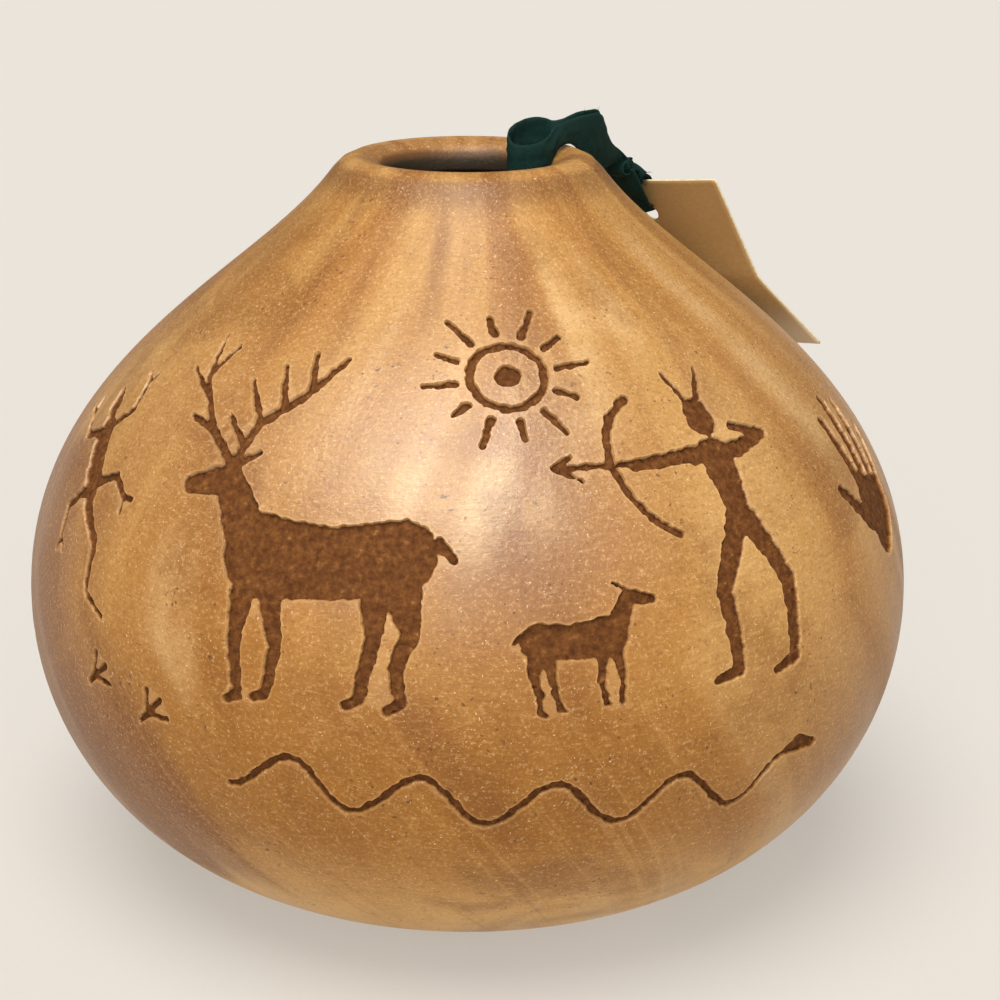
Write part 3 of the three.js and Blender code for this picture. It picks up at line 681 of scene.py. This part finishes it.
def streak_and_painted_light_tone(degrees, height):
    """How much paler or darker the clay's streaks make it at places on the vase, with a painted highlight
    and a painted shade among them.
    """
    tone = np.zeros_like(degrees)
    for azimuth, half_width, lowest, highest, strength in STREAKS_AND_PAINTED_LIGHT:
        wander = STREAK_WANDER * half_width * np.sin(STREAK_WANDER_RATE * height + azimuth)
        off = (degrees - azimuth - wander + 180) % 360 - 180
        inside = np.clip(np.minimum(height - lowest, highest - height) / STREAK_FADE, 0, 1)
        tone += strength * np.exp(-((off / half_width) ** 2)) * inside**2 * (3 - 2 * inside)
    return tone


def vase_mesh():
    """The whole vase: engraved skin, lip, throat, hollow and foot, with what its material reads."""
    turn, arc, distance, faces, foot, crest = skin_mesh()
    radius, height, normal_r, normal_z = outer_at(arc)
    pecks = ripples(turn * radius, arc, PECK_LENGTH, PECK_SEEDS[0])
    pecks += FINE_PECK_SHARE * ripples(turn * radius, arc, FINE_PECK_LENGTH, PECK_SEEDS[1])
    depth = np.clip(-distance / CUT_SLOPE, 0, 1) * (CUT_DEPTH + PECK_DEPTH * pecks)
    radius = radius - depth * normal_r
    height = height - depth * normal_z

    column_turn = SEAM + 2 * math.pi * np.arange(SKIN_COLUMNS) / SKIN_COLUMNS
    inside = np.concatenate([inner_profile(), disc_rings(FLOOR)])
    inside_run = np.cumsum(np.hypot(*np.diff(inside, axis=0, prepend=[outer[-1]]).T))
    under = disc_rings(0)
    rings = [np.stack([turn, radius, height, arc, distance, np.zeros(len(turn))], 1)]

    def add_ring(ring_turns, r, z, run, inward):
        """Adds the points of a plain ring and gives their numbers."""
        first = sum(len(made) for made in rings)
        rings.append(np.array([(t, r, z, run, FAR_FROM_CUT, inward) for t in ring_turns]))
        return range(first, first + len(ring_turns))

    def close(profile, last, runs, inwards, flip):
        """Adds rings along a profile and closes them at the middle of the last one."""
        for (r, z), run, inward in zip(profile, runs, inwards):
            ids = add_ring(column_turn, r, z, run, inward)
            for k in range(SKIN_COLUMNS):
                n = (k + 1) % SKIN_COLUMNS
                quad = (last[k], last[n], ids[n], ids[k])
                faces.append(quad[::-1] if flip else quad)
            last = ids
        middle = add_ring([0], 0, z, run, inward)[0]
        for k in range(SKIN_COLUMNS):
            corner = (last[k], last[(k + 1) % SKIN_COLUMNS], middle)
            faces.append(corner[::-1] if flip else corner)

    close(inside, crest, outer_length + inside_run, inside_run, False)
    close(under, foot, under[:, 0] - FOOT_RADIUS, np.zeros(len(under)), True)

    turn, radius, height, arc, distance, inward = np.concatenate(rings).T
    points = np.stack([radius * np.sin(turn), -radius * np.cos(turn), height], 1)
    mesh = new_mesh("vase_clay", points, faces)
    mesh.shade_smooth()
    mesh.set_sharp_from_angle(angle=SHARP_ANGLE)

    sweep = SWEEP_RATE * np.clip(SWEEP_START - height, 0, None)
    lean = turn - sweep + GRAIN_WANDER * np.sin(GRAIN_WANDER_RATE * arc + 2 * turn)
    store(mesh, "streak_and_painted_light", streak_and_painted_light_tone(np.degrees(turn - sweep), height))
    store(mesh, "cut", np.clip(distance, -FAR_FROM_CUT / 2, FAR_FROM_CUT))
    store(mesh, "height", height)
    store(mesh, "inward", inward)
    store(mesh, "grain", np.stack([np.cos(lean), np.sin(lean), arc * GRAIN_RISE], 1))
    return mesh


# Materials


class Nodes:
    """Builds a material's nodes: an input takes a number, a colour or another node's socket."""

    def __init__(self, name):
        self.material = bpy.data.materials.new(name)
        self.material.use_nodes = True
        self.tree = self.material.node_tree
        self.shader = self.tree.nodes["Principled BSDF"]

    def add(self, kind, inputs=None, **settings):
        made = self.tree.nodes.new(kind)
        for key, value in settings.items():
            setattr(made, key, value)
        self.fill(made, inputs or {})
        return made

    def fill(self, made, inputs):
        for key, value in inputs.items():
            socket = made.inputs[key]
            if isinstance(value, bpy.types.NodeSocket):
                self.tree.links.new(value, socket)
            else:
                socket.default_value = value

    def place(self):
        return self.add("ShaderNodeTexCoord").outputs["Object"]

    def read(self, name, kind="Fac"):
        return self.add("ShaderNodeAttribute", attribute_name=name).outputs[kind]

    def maths(self, operation, a, b=0.0):
        return self.add("ShaderNodeMath", {0: a, 1: b}, operation=operation).outputs[0]

    def times(self, a, b):
        return self.maths("MULTIPLY", a, b)

    def spread(self, value, low, high, to_low=0.0, to_high=1.0):
        inputs = {"Value": value, 1: low, 2: high, 3: to_low, 4: to_high}
        return self.add("ShaderNodeMapRange", inputs, interpolation_type="SMOOTHSTEP").outputs[0]

    def noise(self, vector, scale, detail=3.0, roughness=0.55, distortion=0.0):
        inputs = {"Vector": vector, "Scale": scale, "Detail": detail}
        inputs |= {"Roughness": roughness, "Distortion": distortion}
        return self.add("ShaderNodeTexNoise", inputs).outputs["Fac"]

    def stretched(self, vector, scale):
        return self.add("ShaderNodeVectorMath", {0: vector, 1: scale}, operation="MULTIPLY").outputs[0]

    def mix(self, share, a, b):
        made = self.add("ShaderNodeMix", data_type="RGBA")
        self.fill(made, {0: share, 6: a, 7: b})
        return made.outputs[2]

    def tint(self, colour, value, low, high, share, tone, where=None):
        """Mixes a share of a tone into a colour as a value goes from low to high."""
        amount = self.spread(value, low, high, 0.0, share)
        if where is not None:
            amount = self.times(amount, where)
        return self.mix(amount, colour, srgb(*tone))

    def mix_value(self, share, a, b):
        return self.add("ShaderNodeMix", {0: share, 2: a, 3: b}, data_type="FLOAT").outputs[0]

    def ramp(self, value, stops):
        made = self.add("ShaderNodeValToRGB", {"Fac": value})
        ramp = made.color_ramp
        while len(ramp.elements) < len(stops):
            ramp.elements.new(0.5)
        for element, (place, colour) in zip(ramp.elements, stops):
            element.position = place
            element.color = srgb(*colour)
        return made.outputs["Color"]

    def bump(self, height, strength, distance, normal=None):
        inputs = {"Height": height, "Strength": strength, "Distance": distance}
        if normal is not None:
            inputs["Normal"] = normal
        return self.add("ShaderNodeBump", inputs).outputs["Normal"]


def clay_wall(n, grain, place, streaks, blotch):
    """Colour of the plain wall: clouds, streaks with a painted highlight and a painted shade among them,
    the foot painted paler as bounce light, and the darker neck and lip.
    """
    height = n.read("height")
    inward = n.read("inward")
    clouds = n.noise(n.stretched(grain, (2.2, 2.2, 0.42)), 1.5, 2.0, 0.45, 0.7)
    colour = n.ramp(clouds, [
        (0.28, (182, 140, 82)),
        (0.42, (172, 127, 68)),
        (0.52, (162, 115, 57)),
        (0.62, (150, 102, 48)),
        (0.76, (136, 90, 42)),
    ])
    colour = n.tint(colour, height, *DEEPER_TONE, 0.7, (144, 91, 16))
    # painted bounce light: the foot painted paler
    colour = n.tint(colour, height, *FOOT_PAINTED_BOUNCE, 0.9, (208, 162, 94))

    uneven = n.times(n.maths("SUBTRACT", n.noise(place, 90.0, 3.0, 0.55), 0.5), 0.5)
    # the streak tone also carries the painted highlight and painted shade rows
    tone = n.maths("ADD", n.read("streak_and_painted_light"), uneven)
    tone = n.maths("ADD", tone, n.spread(streaks, 0.3, 0.7, 0.22, -0.22))
    # dark and pale tones of the streaks, also used for the painted shade on the left flank and the painted
    # highlight on the front
    colour = n.tint(colour, tone, -0.1, -0.9, 0.8, (118, 71, 28))
    colour = n.tint(colour, tone, 0.1, 0.9, 0.8, (202, 167, 116))

    outside = n.times(n.spread(inward, 0.4, 0.0), n.spread(height, *DARK_NECK_END))
    colour = n.tint(colour, height, *DARK_NECK, 0.6, (104, 66, 34), outside)
    colour = n.tint(colour, inward, 0.2, 2.4, 0.45, (112, 70, 36))
    colour = n.tint(colour, blotch, 0.48, 0.68, 0.55, (118, 71, 22))
    colour = n.tint(colour, blotch, 0.46, 0.3, 0.35, (172, 126, 61))

    veins = n.noise(n.stretched(grain, (20.0, 20.0, 0.6)), 1.6, 3.0, 0.6, 0.5)
    veined = n.spread(height, *VEINED)
    colour = n.tint(colour, veins, 0.54, 0.72, 0.28, (206, 158, 94), veined)
    return n.tint(colour, veins, 0.46, 0.3, 0.25, (116, 70, 26), veined)


def clay_marks(n, colour, place, lines, brush, pores, specks):
    """Fine marks over the wall: turning lines, brushed strokes, pores, dark specks, and glints painted as
    pale flecks (painted highlights).
    """
    colour = n.tint(colour, lines, 0.52, 0.74, 0.18, (96, 58, 28))
    colour = n.tint(colour, brush, 0.52, 0.74, 0.24, (224, 184, 128))
    colour = n.tint(colour, brush, 0.48, 0.28, 0.3, (104, 62, 28))
    colour = n.tint(colour, pores, 0.46, 0.3, 0.4, (108, 66, 32))
    colour = n.tint(colour, pores, 0.54, 0.7, 0.34, (226, 188, 134))
    patches = n.spread(n.noise(place, 70.0, 2.0, 0.5), 0.48, 0.64)
    colour = n.tint(colour, specks, 0.67, 0.75, 0.7, (70, 42, 22), patches)
    # painted highlight: tiny bright glints painted into the colour
    painted_glints = n.noise(place, 2100.0, 2.0, 0.5)
    return n.tint(colour, painted_glints, 0.67, 0.76, 0.6, (246, 214, 168))


def clay_cuts(n, colour, in_cut, cut_floor):
    """Colour of the engraving's floors and the worn rim round them."""
    floor_colour = n.ramp(cut_floor, [
        (0.3, (72, 40, 17)),
        (0.5, (94, 56, 25)),
        (0.64, (110, 69, 33)),
        (0.76, (146, 102, 58)),
    ])
    colour = n.mix(in_cut, colour, floor_colour)
    plain = n.maths("SUBTRACT", 1.0, in_cut)
    return n.tint(colour, n.read("cut"), 0.5, 0.05, 0.18, (216, 174, 118), plain)


def clay_hollow_and_painted_shade(n, colour, blotch):
    """Colour that deepens unevenly from the lip into the hollow: browner then greyer, partly the inside's
    own clay and partly painted shade, then painted shade near black deep in the hollow.
    """
    uneven = n.times(n.maths("SUBTRACT", blotch, 0.5), 5.0)
    depth = n.maths("ADD", n.read("inward"), uneven)
    # partly the inside's own tone, partly painted shade
    colour = n.tint(colour, depth, 5.2, 7.0, 1.0, (96, 64, 34))
    colour = n.tint(colour, depth, 7.0, 8.6, 1.0, (66, 56, 44))
    # painted shade: near black deep down in the hollow
    return n.tint(colour, depth, 12.0, 36.0, 1.0, (44, 36, 28))


def clay_material():
    n = Nodes("burnished_clay")
    grain = n.read("grain", "Vector")
    place = n.place()
    height = n.read("height")
    streaks = n.noise(n.stretched(grain, (3.6, 3.6, 0.45)), 1.8, 1.2, 0.4, 0.6)
    blotch = n.noise(place, 30.0, 4.0, 0.6, 0.6)
    lines = n.noise(n.stretched(grain, (2.4, 2.4, 60.0)), 2.6, 4.0, 0.65, 0.3)
    brush = n.noise(n.stretched(grain, (45.0, 45.0, 130.0)), 1.0, 4.0, 0.7)
    pores = n.noise(place, 1500.0, 3.0, 0.75)
    specks = n.noise(place, 1000.0, 1.0, 0.4)
    cut_floor = n.noise(place, 760.0, 4.0, 0.6)
    in_cut = n.spread(n.read("cut"), -0.02, -0.3)

    colour = clay_wall(n, grain, place, streaks, blotch)
    colour = clay_marks(n, colour, place, lines, brush, pores, specks)
    colour = clay_cuts(n, colour, in_cut, cut_floor)
    colour = clay_hollow_and_painted_shade(n, colour, blotch)

    satin = n.spread(streaks, 0.3, 0.7, 0.3, 0.42)
    rough = n.maths("ADD", satin, n.spread(brush, 0.4, 0.8, 0.0, 0.12))
    rough = n.mix_value(in_cut, rough, 0.82)
    polish = n.times(n.spread(height, *POLISHED, 0.25, 0.85), n.spread(height, *DULL_NECK, 0.4, 1.0))
    shine = n.mix_value(in_cut, polish, 0.12)
    relief = n.bump(lines, 0.14, 0.0004)
    relief = n.bump(brush, 0.28, 0.0003, relief)
    relief = n.bump(specks, 0.2, 0.0004, relief)
    relief = n.bump(pores, 0.22, 0.0003, relief)
    relief = n.bump(n.times(cut_floor, in_cut), 0.6, 0.0007, relief)
    surface = {"Base Color": colour, "Roughness": rough, "Normal": relief, "Specular IOR Level": shine}
    n.fill(n.shader, surface)
    return n.material


def cloth_material():
    n = Nodes("ribbon_cloth")
    place = n.place()
    weave = n.add("ShaderNodeSeparateXYZ", {0: n.read("weave", "Vector")}).outputs
    warp = n.maths("SINE", n.times(weave[0], 2 * math.pi / WEAVE))
    weft = n.maths("SINE", n.times(weave[1], 2 * math.pi / WEAVE))
    fuzz = n.noise(place, 2600.0, 2.0, 0.5)
    crossings = n.spread(n.times(warp, weft), -1.0, 1.0, 0.0, 0.6)
    threads = n.maths("ADD", crossings, n.times(fuzz, 0.4))
    broad = n.noise(place, 160.0, 3.0, 0.5)
    colour = n.ramp(broad, [(0.35, (1, 15, 13)), (0.65, (3, 25, 22))])
    colour = n.tint(colour, threads, 0.48, 0.8, 0.72, (26, 88, 78))
    relief = n.bump(threads, 0.8, 0.0002)
    n.fill(n.shader, {"Base Color": colour, "Roughness": 0.8, "Normal": relief, "Specular IOR Level": 0.2})
    return n.material


def card_material():
    n = Nodes("kraft_card")
    place = n.place()
    fibres = n.noise(n.stretched(place, (1.0, 1.0, 2.0)), 900.0, 4.0, 0.6)
    down = n.read("down")
    colour = n.ramp(fibres, [
        (0.3, (184, 152, 100)),
        (0.55, (194, 162, 109)),
        (0.75, (203, 172, 120)),
    ])
    # painted shade: the card darker towards its top, near the knot and the vase
    colour = n.tint(colour, down, 30.0, 12.0, 0.45, (152, 118, 70))
    # painted light: the lower leaf paler towards its tip, as light catching that leaf
    colour = n.tint(colour, down, 36.0, 54.0, 0.95, (236, 216, 182))
    relief = n.bump(fibres, 0.08, 0.0001)
    n.fill(n.shader, {"Base Color": colour, "Roughness": 0.78, "Normal": relief})
    return n.material


def fibre_material(name, scale, detail, roughness, dark, pale, surface):
    """A plain material between two tones, uneven by fine fibres."""
    n = Nodes(name)
    colour = n.ramp(n.noise(n.place(), scale, detail, roughness), [(0.3, dark), (0.7, pale)])
    n.fill(n.shader, {"Base Color": colour, **surface})
    return n.material


def add_object(name, mesh, material):
    made = bpy.data.objects.new(name, mesh)
    bpy.context.scene.collection.objects.link(made)
    made.data.materials.append(material)
    return made


clay = clay_material()
cloth = cloth_material()
card = card_material()
edge_look = {"Roughness": 0.85}
card_edge = fibre_material("card_edge", 1500.0, 3.0, 0.6, (196, 176, 134), (232, 216, 180), edge_look)

vase = add_object("vase", vase_mesh(), clay)
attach(vase, "vase")
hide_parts("vase_body")

# Tag frame: x along the card's width, y up the card, z out of its outer face, origin at the hole

joints = {joint["name"]: joint for joint in frame["joints"]}
tag_x = -np.array(joints["tag_fold"]["axis"])
crease_point = np.array(joints["tag_fold"]["pos_m"]) / MM
knot_point = np.array(joints["tag_swing"]["pos_m"]) / MM
knot_rise = KNOT_PLACE[1] - CREASE
knot_way = knot_point - crease_point
knot_side = np.cross(tag_x, knot_way)
knot_span = knot_rise**2 + KNOT_PLACE[2] ** 2
tag_y = (knot_rise * knot_way - KNOT_PLACE[2] * knot_side) / knot_span
tag_z = (knot_rise * knot_side + KNOT_PLACE[2] * knot_way) / knot_span
tail_way = -math.cos(TAIL_DROP) * tag_x - math.sin(TAIL_DROP) * tag_y


def on_tag(x, y, z):
    """A place in the tag frame, in the row frame."""
    return crease_point + x * tag_x + (y - CREASE) * tag_y + z * tag_z


def on_ribbon(out, along, up):
    """A place given from the crest of the lip where the ribbon crosses it, in the row frame."""
    c = math.cos(RIBBON_AZIMUTH)
    s = math.sin(RIBBON_AZIMUTH)
    out = CREST_RADIUS + out
    return np.array([out * c - along * s, out * s + along * c, HEIGHT + up])


def unit(vector):
    return np.asarray(vector, float) / np.linalg.norm(vector)


def smooth_path(points, per_span):
    """Points along a smooth curve through the given ones, and the share of the way between them."""
    points = np.asarray(points, float)
    padded = np.concatenate([[2 * points[0] - points[1]], points, [2 * points[-1] - points[-2]]])
    shares = np.linspace(0, len(points) - 1, per_span * (len(points) - 1) + 1)
    made = []
    for share in shares:
        k = min(int(share), len(points) - 2)
        t = share - k
        a, b, c, d = padded[k : k + 4]
        made.append(b + t / 2 * (c - a + t * (2 * a - 5 * b + 4 * c - d + t * (3 * b - 3 * c + d - a))))
    return np.array(made), shares


def between(values, shares):
    """Values given at whole numbers, read between them."""
    values = np.asarray(values, float)
    whole = np.arange(len(values))
    if values.ndim == 1:
        return np.interp(shares, whole, values)
    return np.stack([np.interp(shares, whole, column) for column in values.T], 1)


def cloth_strip(name, edge_a, edge_b, cups, seed):
    """A ribbon between two edges: cupped across its width by the given depth, and a little uneven."""
    centres = (edge_a + edge_b) / 2
    across = edge_b - edge_a
    along = np.gradient(centres, axis=0)
    normal = np.cross(along, across)
    normal /= np.linalg.norm(normal, axis=1)[:, None]
    widths = np.linalg.norm(across, axis=1)
    run = np.concatenate([[0], np.cumsum(np.linalg.norm(np.diff(centres, axis=0), axis=1))])
    columns = CLOTH_COLUMNS
    shares = np.linspace(-1, 1, columns)
    rows = len(centres)
    place_u = np.repeat(shares[None, :], rows, 0) * widths[:, None] / 2
    place_v = np.repeat(run[:, None], columns, 1)
    creases = CREASING * ripples(place_v, 2 * place_u, CREASING_LENGTH, seed)
    creases += FINE_CREASING * ripples(place_v, place_u, FINE_CREASING_LENGTH, seed + 1)
    rise = cups[:, None] * (1 - shares[None, :] ** 2) + creases
    level = centres[:, None, :] + shares[None, :, None] / 2 * across[:, None, :]
    points = level + rise[:, :, None] * normal[:, None, :]
    ids = np.arange(rows * columns).reshape(rows, columns)
    quads = np.stack([ids[:-1, :-1], ids[:-1, 1:], ids[1:, 1:], ids[1:, :-1]], -1).reshape(-1, 4)
    mesh = new_mesh(name, points.reshape(-1, 3), quads.tolist())
    mesh.shade_smooth()
    store(mesh, "weave", np.stack([place_u.ravel(), place_v.ravel(), np.zeros(rows * columns)], 1))
    made = add_object(name, mesh, cloth)
    thick = made.modifiers.new("thickness", "SOLIDIFY")
    thick.thickness = RIBBON_THICK * MM
    thick.offset = 0
    return made, run[-1]


def strip_along(name, stations, per_span, seed):
    """A ribbon through stations of (one edge, other edge, cup)."""
    edge_a, shares = smooth_path([station[0] for station in stations], per_span)
    edge_b, _ = smooth_path([station[1] for station in stations], per_span)
    return cloth_strip(name, edge_a, edge_b, between([station[2] for station in stations], shares), seed)


def ribbon_loop():
    """Both strands from the knot over the lip and the bight between them that hangs in the mouth."""
    strand = [(np.array(a), np.array(b), cup) for a, b, cup in STRAND_EDGES]
    for up, near, far, cup in STRAND_ENDS:
        place = on_tag(KNOT_PLACE[0], KNOT_PLACE[1] + up, KNOT_PLACE[2])
        strand.append((place + near * tag_x, place + far * tag_x, cup))
    ways = np.gradient(np.array([(a + b) / 2 for a, b, _ in strand]), axis=0)

    def layer(offset, wider, cup_way):
        made = []
        for (a, b, cup), way in zip(strand, ways):
            shift = offset * unit(np.cross(way, b - a))
            spare = wider * unit(b - a)
            made.append((a + shift - spare, b + shift - spare / 2, cup_way * cup))
        return made

    stations = layer(-STRAND_GAP / 2, 0, 1)[::-1]
    up = np.array([0, 0, 1.0])
    for angle in np.linspace(-BIGHT_OPENING, BIGHT_OPENING - 2 * math.pi, BIGHT_STEPS + 1):
        c = math.cos(angle)
        s = math.sin(angle)
        centre = on_ribbon(
            BIGHT_LENGTH / 2 * c - BIGHT_INSET,
            BIGHT_DEPTH / 2 * s + BIGHT_SHIFT,
            BIGHT_TILT * c + BIGHT_LEAN * s,
        )
        share = (1 - c) / 2
        half = (BIGHT_PINCH + share * (RIBBON_WIDTH - BIGHT_PINCH)) / 2
        stations.append((centre + half * up, centre - half * up, BIGHT_CUP * (1 - share)))
    stations += layer(STRAND_GAP / 2, STRAND_SPARE, -1)
    return strip_along("ribbon_loop_cloth", stations, STRIP_STEPS, LOOP_SEED)


def ribbon_knot():
    """Two crossing turns of gathered ribbon, pulled tight: one wound from the middle, one over it."""
    centre = on_tag(*KNOT_PLACE)
    made = []
    for name, tilt, wraps, first, last, width, cup, seed in KNOT_TURNS:
        a = math.radians(tilt)
        axis = math.cos(a) * tag_x + math.sin(a) * tag_z
        second = np.cross(axis, tag_y)
        turn = np.linspace(0, 2 * math.pi * wraps, KNOT_STEPS)[:, None]
        radius = np.linspace(first, last, KNOT_STEPS)[:, None]
        centres = centre + radius * (np.cos(turn) * tag_y + np.sin(turn) * second)
        cups = np.full(KNOT_STEPS, cup)
        strip, _ = cloth_strip(name, centres - width / 2 * axis, centres + width / 2 * axis, cups, seed)
        made.append(strip)
    return made


def ribbon_tail():
    """The cut end that comes out of the knot."""
    across = unit(-math.sin(TAIL_DROP) * tag_x + math.cos(TAIL_DROP) * tag_y + TAIL_TWIST * tag_z)
    root = on_tag(*KNOT_PLACE) + TAIL_OUT * tag_z
    stations = []
    for reach, lift, width, cup in TAIL_ROUTE:
        centre = root + reach * tail_way + lift * tag_z
        stations.append((centre - width / 2 * across, centre + width / 2 * across, cup))
    return strip_along("ribbon_tail_cloth", stations, STRIP_STEPS, TAIL_SEED)[0]


def ribbon_tie():
    """The turn of ribbon through the tag's hole and over its top edge."""
    stations = []
    for height, out, width in TIE_ROUTE:
        centre = on_tag(0, height, out)
        stations.append((centre - width / 2 * tag_x, centre + width / 2 * tag_x, TIE_CUP))
    return strip_along("ribbon_tie_cloth", stations, TIE_STEPS, TIE_SEED)[0]


def frayed(name, places, way, spread, seed):
    """Short loose threads that stick out of a cut or worn edge."""
    rng = np.random.default_rng(seed)
    points = []
    faces = []
    for place in places:
        out = unit(way + spread * rng.normal(size=3))
        bent = unit(out + THREAD_BEND * rng.normal(size=3))
        length = rng.uniform(THREAD_SHORTEST, THREAD_LONGEST)
        side = unit(np.cross(out, ASKEW))
        other = np.cross(out, side)
        start = len(points)
        for share in THREAD_STATIONS:
            middle = place + length * share * out + THREAD_CURL * length * share**2 * bent
            radius = THREAD / 2 * (THREAD_TAPER - share)
            for angle in THREAD_CORNERS:
                points.append(middle + radius * (math.cos(angle) * side + math.sin(angle) * other))
        sides = len(THREAD_CORNERS)
        tip = len(points) - sides
        for low in range(start, tip, sides):
            high = low + sides
            for k in range(sides):
                n = (k + 1) % sides
                faces.append((low + k, low + n, high + n, high + k))
        faces.append(tuple(range(start + sides - 1, start - 1, -1)))
        faces.append(tuple(range(tip, tip + sides)))
    return add_object(name, new_mesh(name, points, faces), cloth)


def tag_card():
    """One card with a punched hole, creased once across, so that its lower leaf kicks out."""
    hole = []
    for angle in np.linspace(0, 2 * math.pi, HOLE_STEPS + 1)[:-1]:
        hole.append((HOLE_RADIUS * math.cos(angle), LEAF_TOP - HOLE_RADIUS * math.sin(angle)))
    points = []
    for down in np.linspace(0, UPPER_LEAF + LOWER_LEAF, CARD_ROWS + 1):
        for x in np.linspace(NEAR_SIDE, FAR_SIDE, CARD_COLUMNS + 1):
            if math.hypot(x, LEAF_TOP - down) > HOLE_RADIUS + HOLE_MARGIN:
                points.append((x, down))
    start = len(points)
    points += hole
    lines = [(start + k, start + (k + 1) % len(hole)) for k in range(len(hole))]
    places, _, faces, _, _, _ = delaunay_2d_cdt([Vector(p) for p in points], lines, [], 0, TOUCHING)
    flat = np.array([tuple(p) for p in places])
    kept = []
    for face in faces:
        middle = flat[list(face)].mean(0)
        if math.hypot(middle[0], middle[1] - LEAF_TOP) > HOLE_RADIUS * HOLE_SHARE:
            kept.append(tuple(face))
    used = sorted({i for face in kept for i in face})
    renumber = {old: new for new, old in enumerate(used)}
    x, down = flat[used].T
    beyond = down - UPPER_LEAF
    eased = (beyond + np.sqrt(beyond**2 + CREASE_BEND**2)) / 2
    y = LEAF_TOP - down + eased * (1 - math.cos(TAG_FOLD))
    z = eased * math.sin(TAG_FOLD) - CARD_BOW + CARD_BOW * np.cos(down * CARD_BOW_RATE)
    z += CARD_TWIST * np.sin(CARD_TWIST_RATE * x)
    placed = [on_tag(*p) for p in np.stack([x, y, z], 1)]
    mesh = new_mesh("tag_card", placed, [tuple(renumber[i] for i in face) for face in kept])
    mesh.shade_smooth()
    store(mesh, "down", down)
    made = add_object("tag_card", mesh, card)
    made.data.materials.append(card_edge)
    if mesh.polygons[0].normal.dot(Vector(tag_z)) < 0:
        mesh.flip_normals()
    thick = made.modifiers.new("thickness", "SOLIDIFY")
    thick.thickness = CARD_THICK * MM
    thick.offset = -1
    thick.material_offset_rim = 1
    return made


loop, loop_length = ribbon_loop()
knot_turns = ribbon_knot()
tail = ribbon_tail()
tie = ribbon_tie()
peak = np.array(STRAND_EDGES[PEAK_STATION][0])
peak_roots = [peak + share * np.array(PEAK_RUN) for share in np.linspace(*PEAK_SHARES, PEAK_THREADS)]
peak_threads = frayed("ribbon_peak_threads", peak_roots, np.array(PEAK_WAY), PEAK_SPREAD, PEAK_SEED)
tail_end = np.array([tuple(v.co) for v in tail.data.vertices[-CLOTH_COLUMNS:]]) / MM
tail_roots = np.repeat(tail_end, TAIL_THREADS, 0)
tail_threads = frayed("ribbon_tail_threads", tail_roots, tail_way, TAIL_SPREAD, TAIL_THREAD_SEED)
for piece in (loop, *knot_turns, tail, peak_threads, tail_threads):
    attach(piece, "ribbon")
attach(tie, "tag")
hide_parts("ribbon_loop")
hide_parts("ribbon_knot")
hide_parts("ribbon_tail")
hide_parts("ribbon_tie")

tag = tag_card()
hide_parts("tag_upper_leaf", "tag_lower_leaf")
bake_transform(tag)

# Studio

corners = [(x * STUDIO_REACH, y * STUDIO_REACH, 0) for x, y in ((-1, -1), (1, -1), (1, 1), (-1, 1))]
# painted light: the floor glows through its emission, which lifts the vase's shadow on it
glowing_floor_look = {"Roughness": 0.9, "Emission Color": srgb(232, 226, 217), "Emission Strength": 0.5}
floor = fibre_material("studio_floor", 700.0, 2.0, 0.5, (137, 135, 132), (139, 137, 134), glowing_floor_look)
studio = add_object("studio", new_mesh("studio", corners, [(0, 1, 2, 3)]), floor)


def soft_light(name, way, spread, strength, colour):
    """A broad even light from a direction."""
    data = bpy.data.lights.new(name, "SUN")
    data.energy = strength
    data.angle = math.radians(spread)
    data.color = colour
    light = bpy.data.objects.new(name, data)
    light.rotation_euler = Vector(way).to_track_quat("Z", "Y").to_euler()
    bpy.context.scene.collection.objects.link(light)


for light in LIGHTS:
    soft_light(*light)

world = bpy.data.worlds.new("studio_air")
bpy.context.scene.world = world
world.use_nodes = True
air = world.node_tree
direction = air.nodes.new("ShaderNodeTexCoord")
parts = air.nodes.new("ShaderNodeSeparateXYZ")
shade = air.nodes.new("ShaderNodeValToRGB")
shade.color_ramp.elements[0].color = AIR_AT_HORIZON
shade.color_ramp.elements[1].color = AIR_ABOVE
air.links.new(direction.outputs["Generated"], parts.inputs[0])
air.links.new(parts.outputs[2], shade.inputs["Fac"])
air.links.new(shade.outputs["Color"], air.nodes["Background"].inputs["Color"])

camera_data = bpy.data.cameras.new("camera")
camera_data.lens = CAMERA_LENS
camera_data.shift_x = CAMERA_SHIFT
camera_data.clip_start = CAMERA_NEAREST
camera = bpy.data.objects.new("camera", camera_data)
camera.location = CAMERA_PLACE
camera.rotation_euler = (math.pi / 2 - CAMERA_DOWN, 0, 0)
bpy.context.scene.collection.objects.link(camera)
bpy.context.scene.camera = camera
bpy.context.scene.view_settings.view_transform = "Standard"
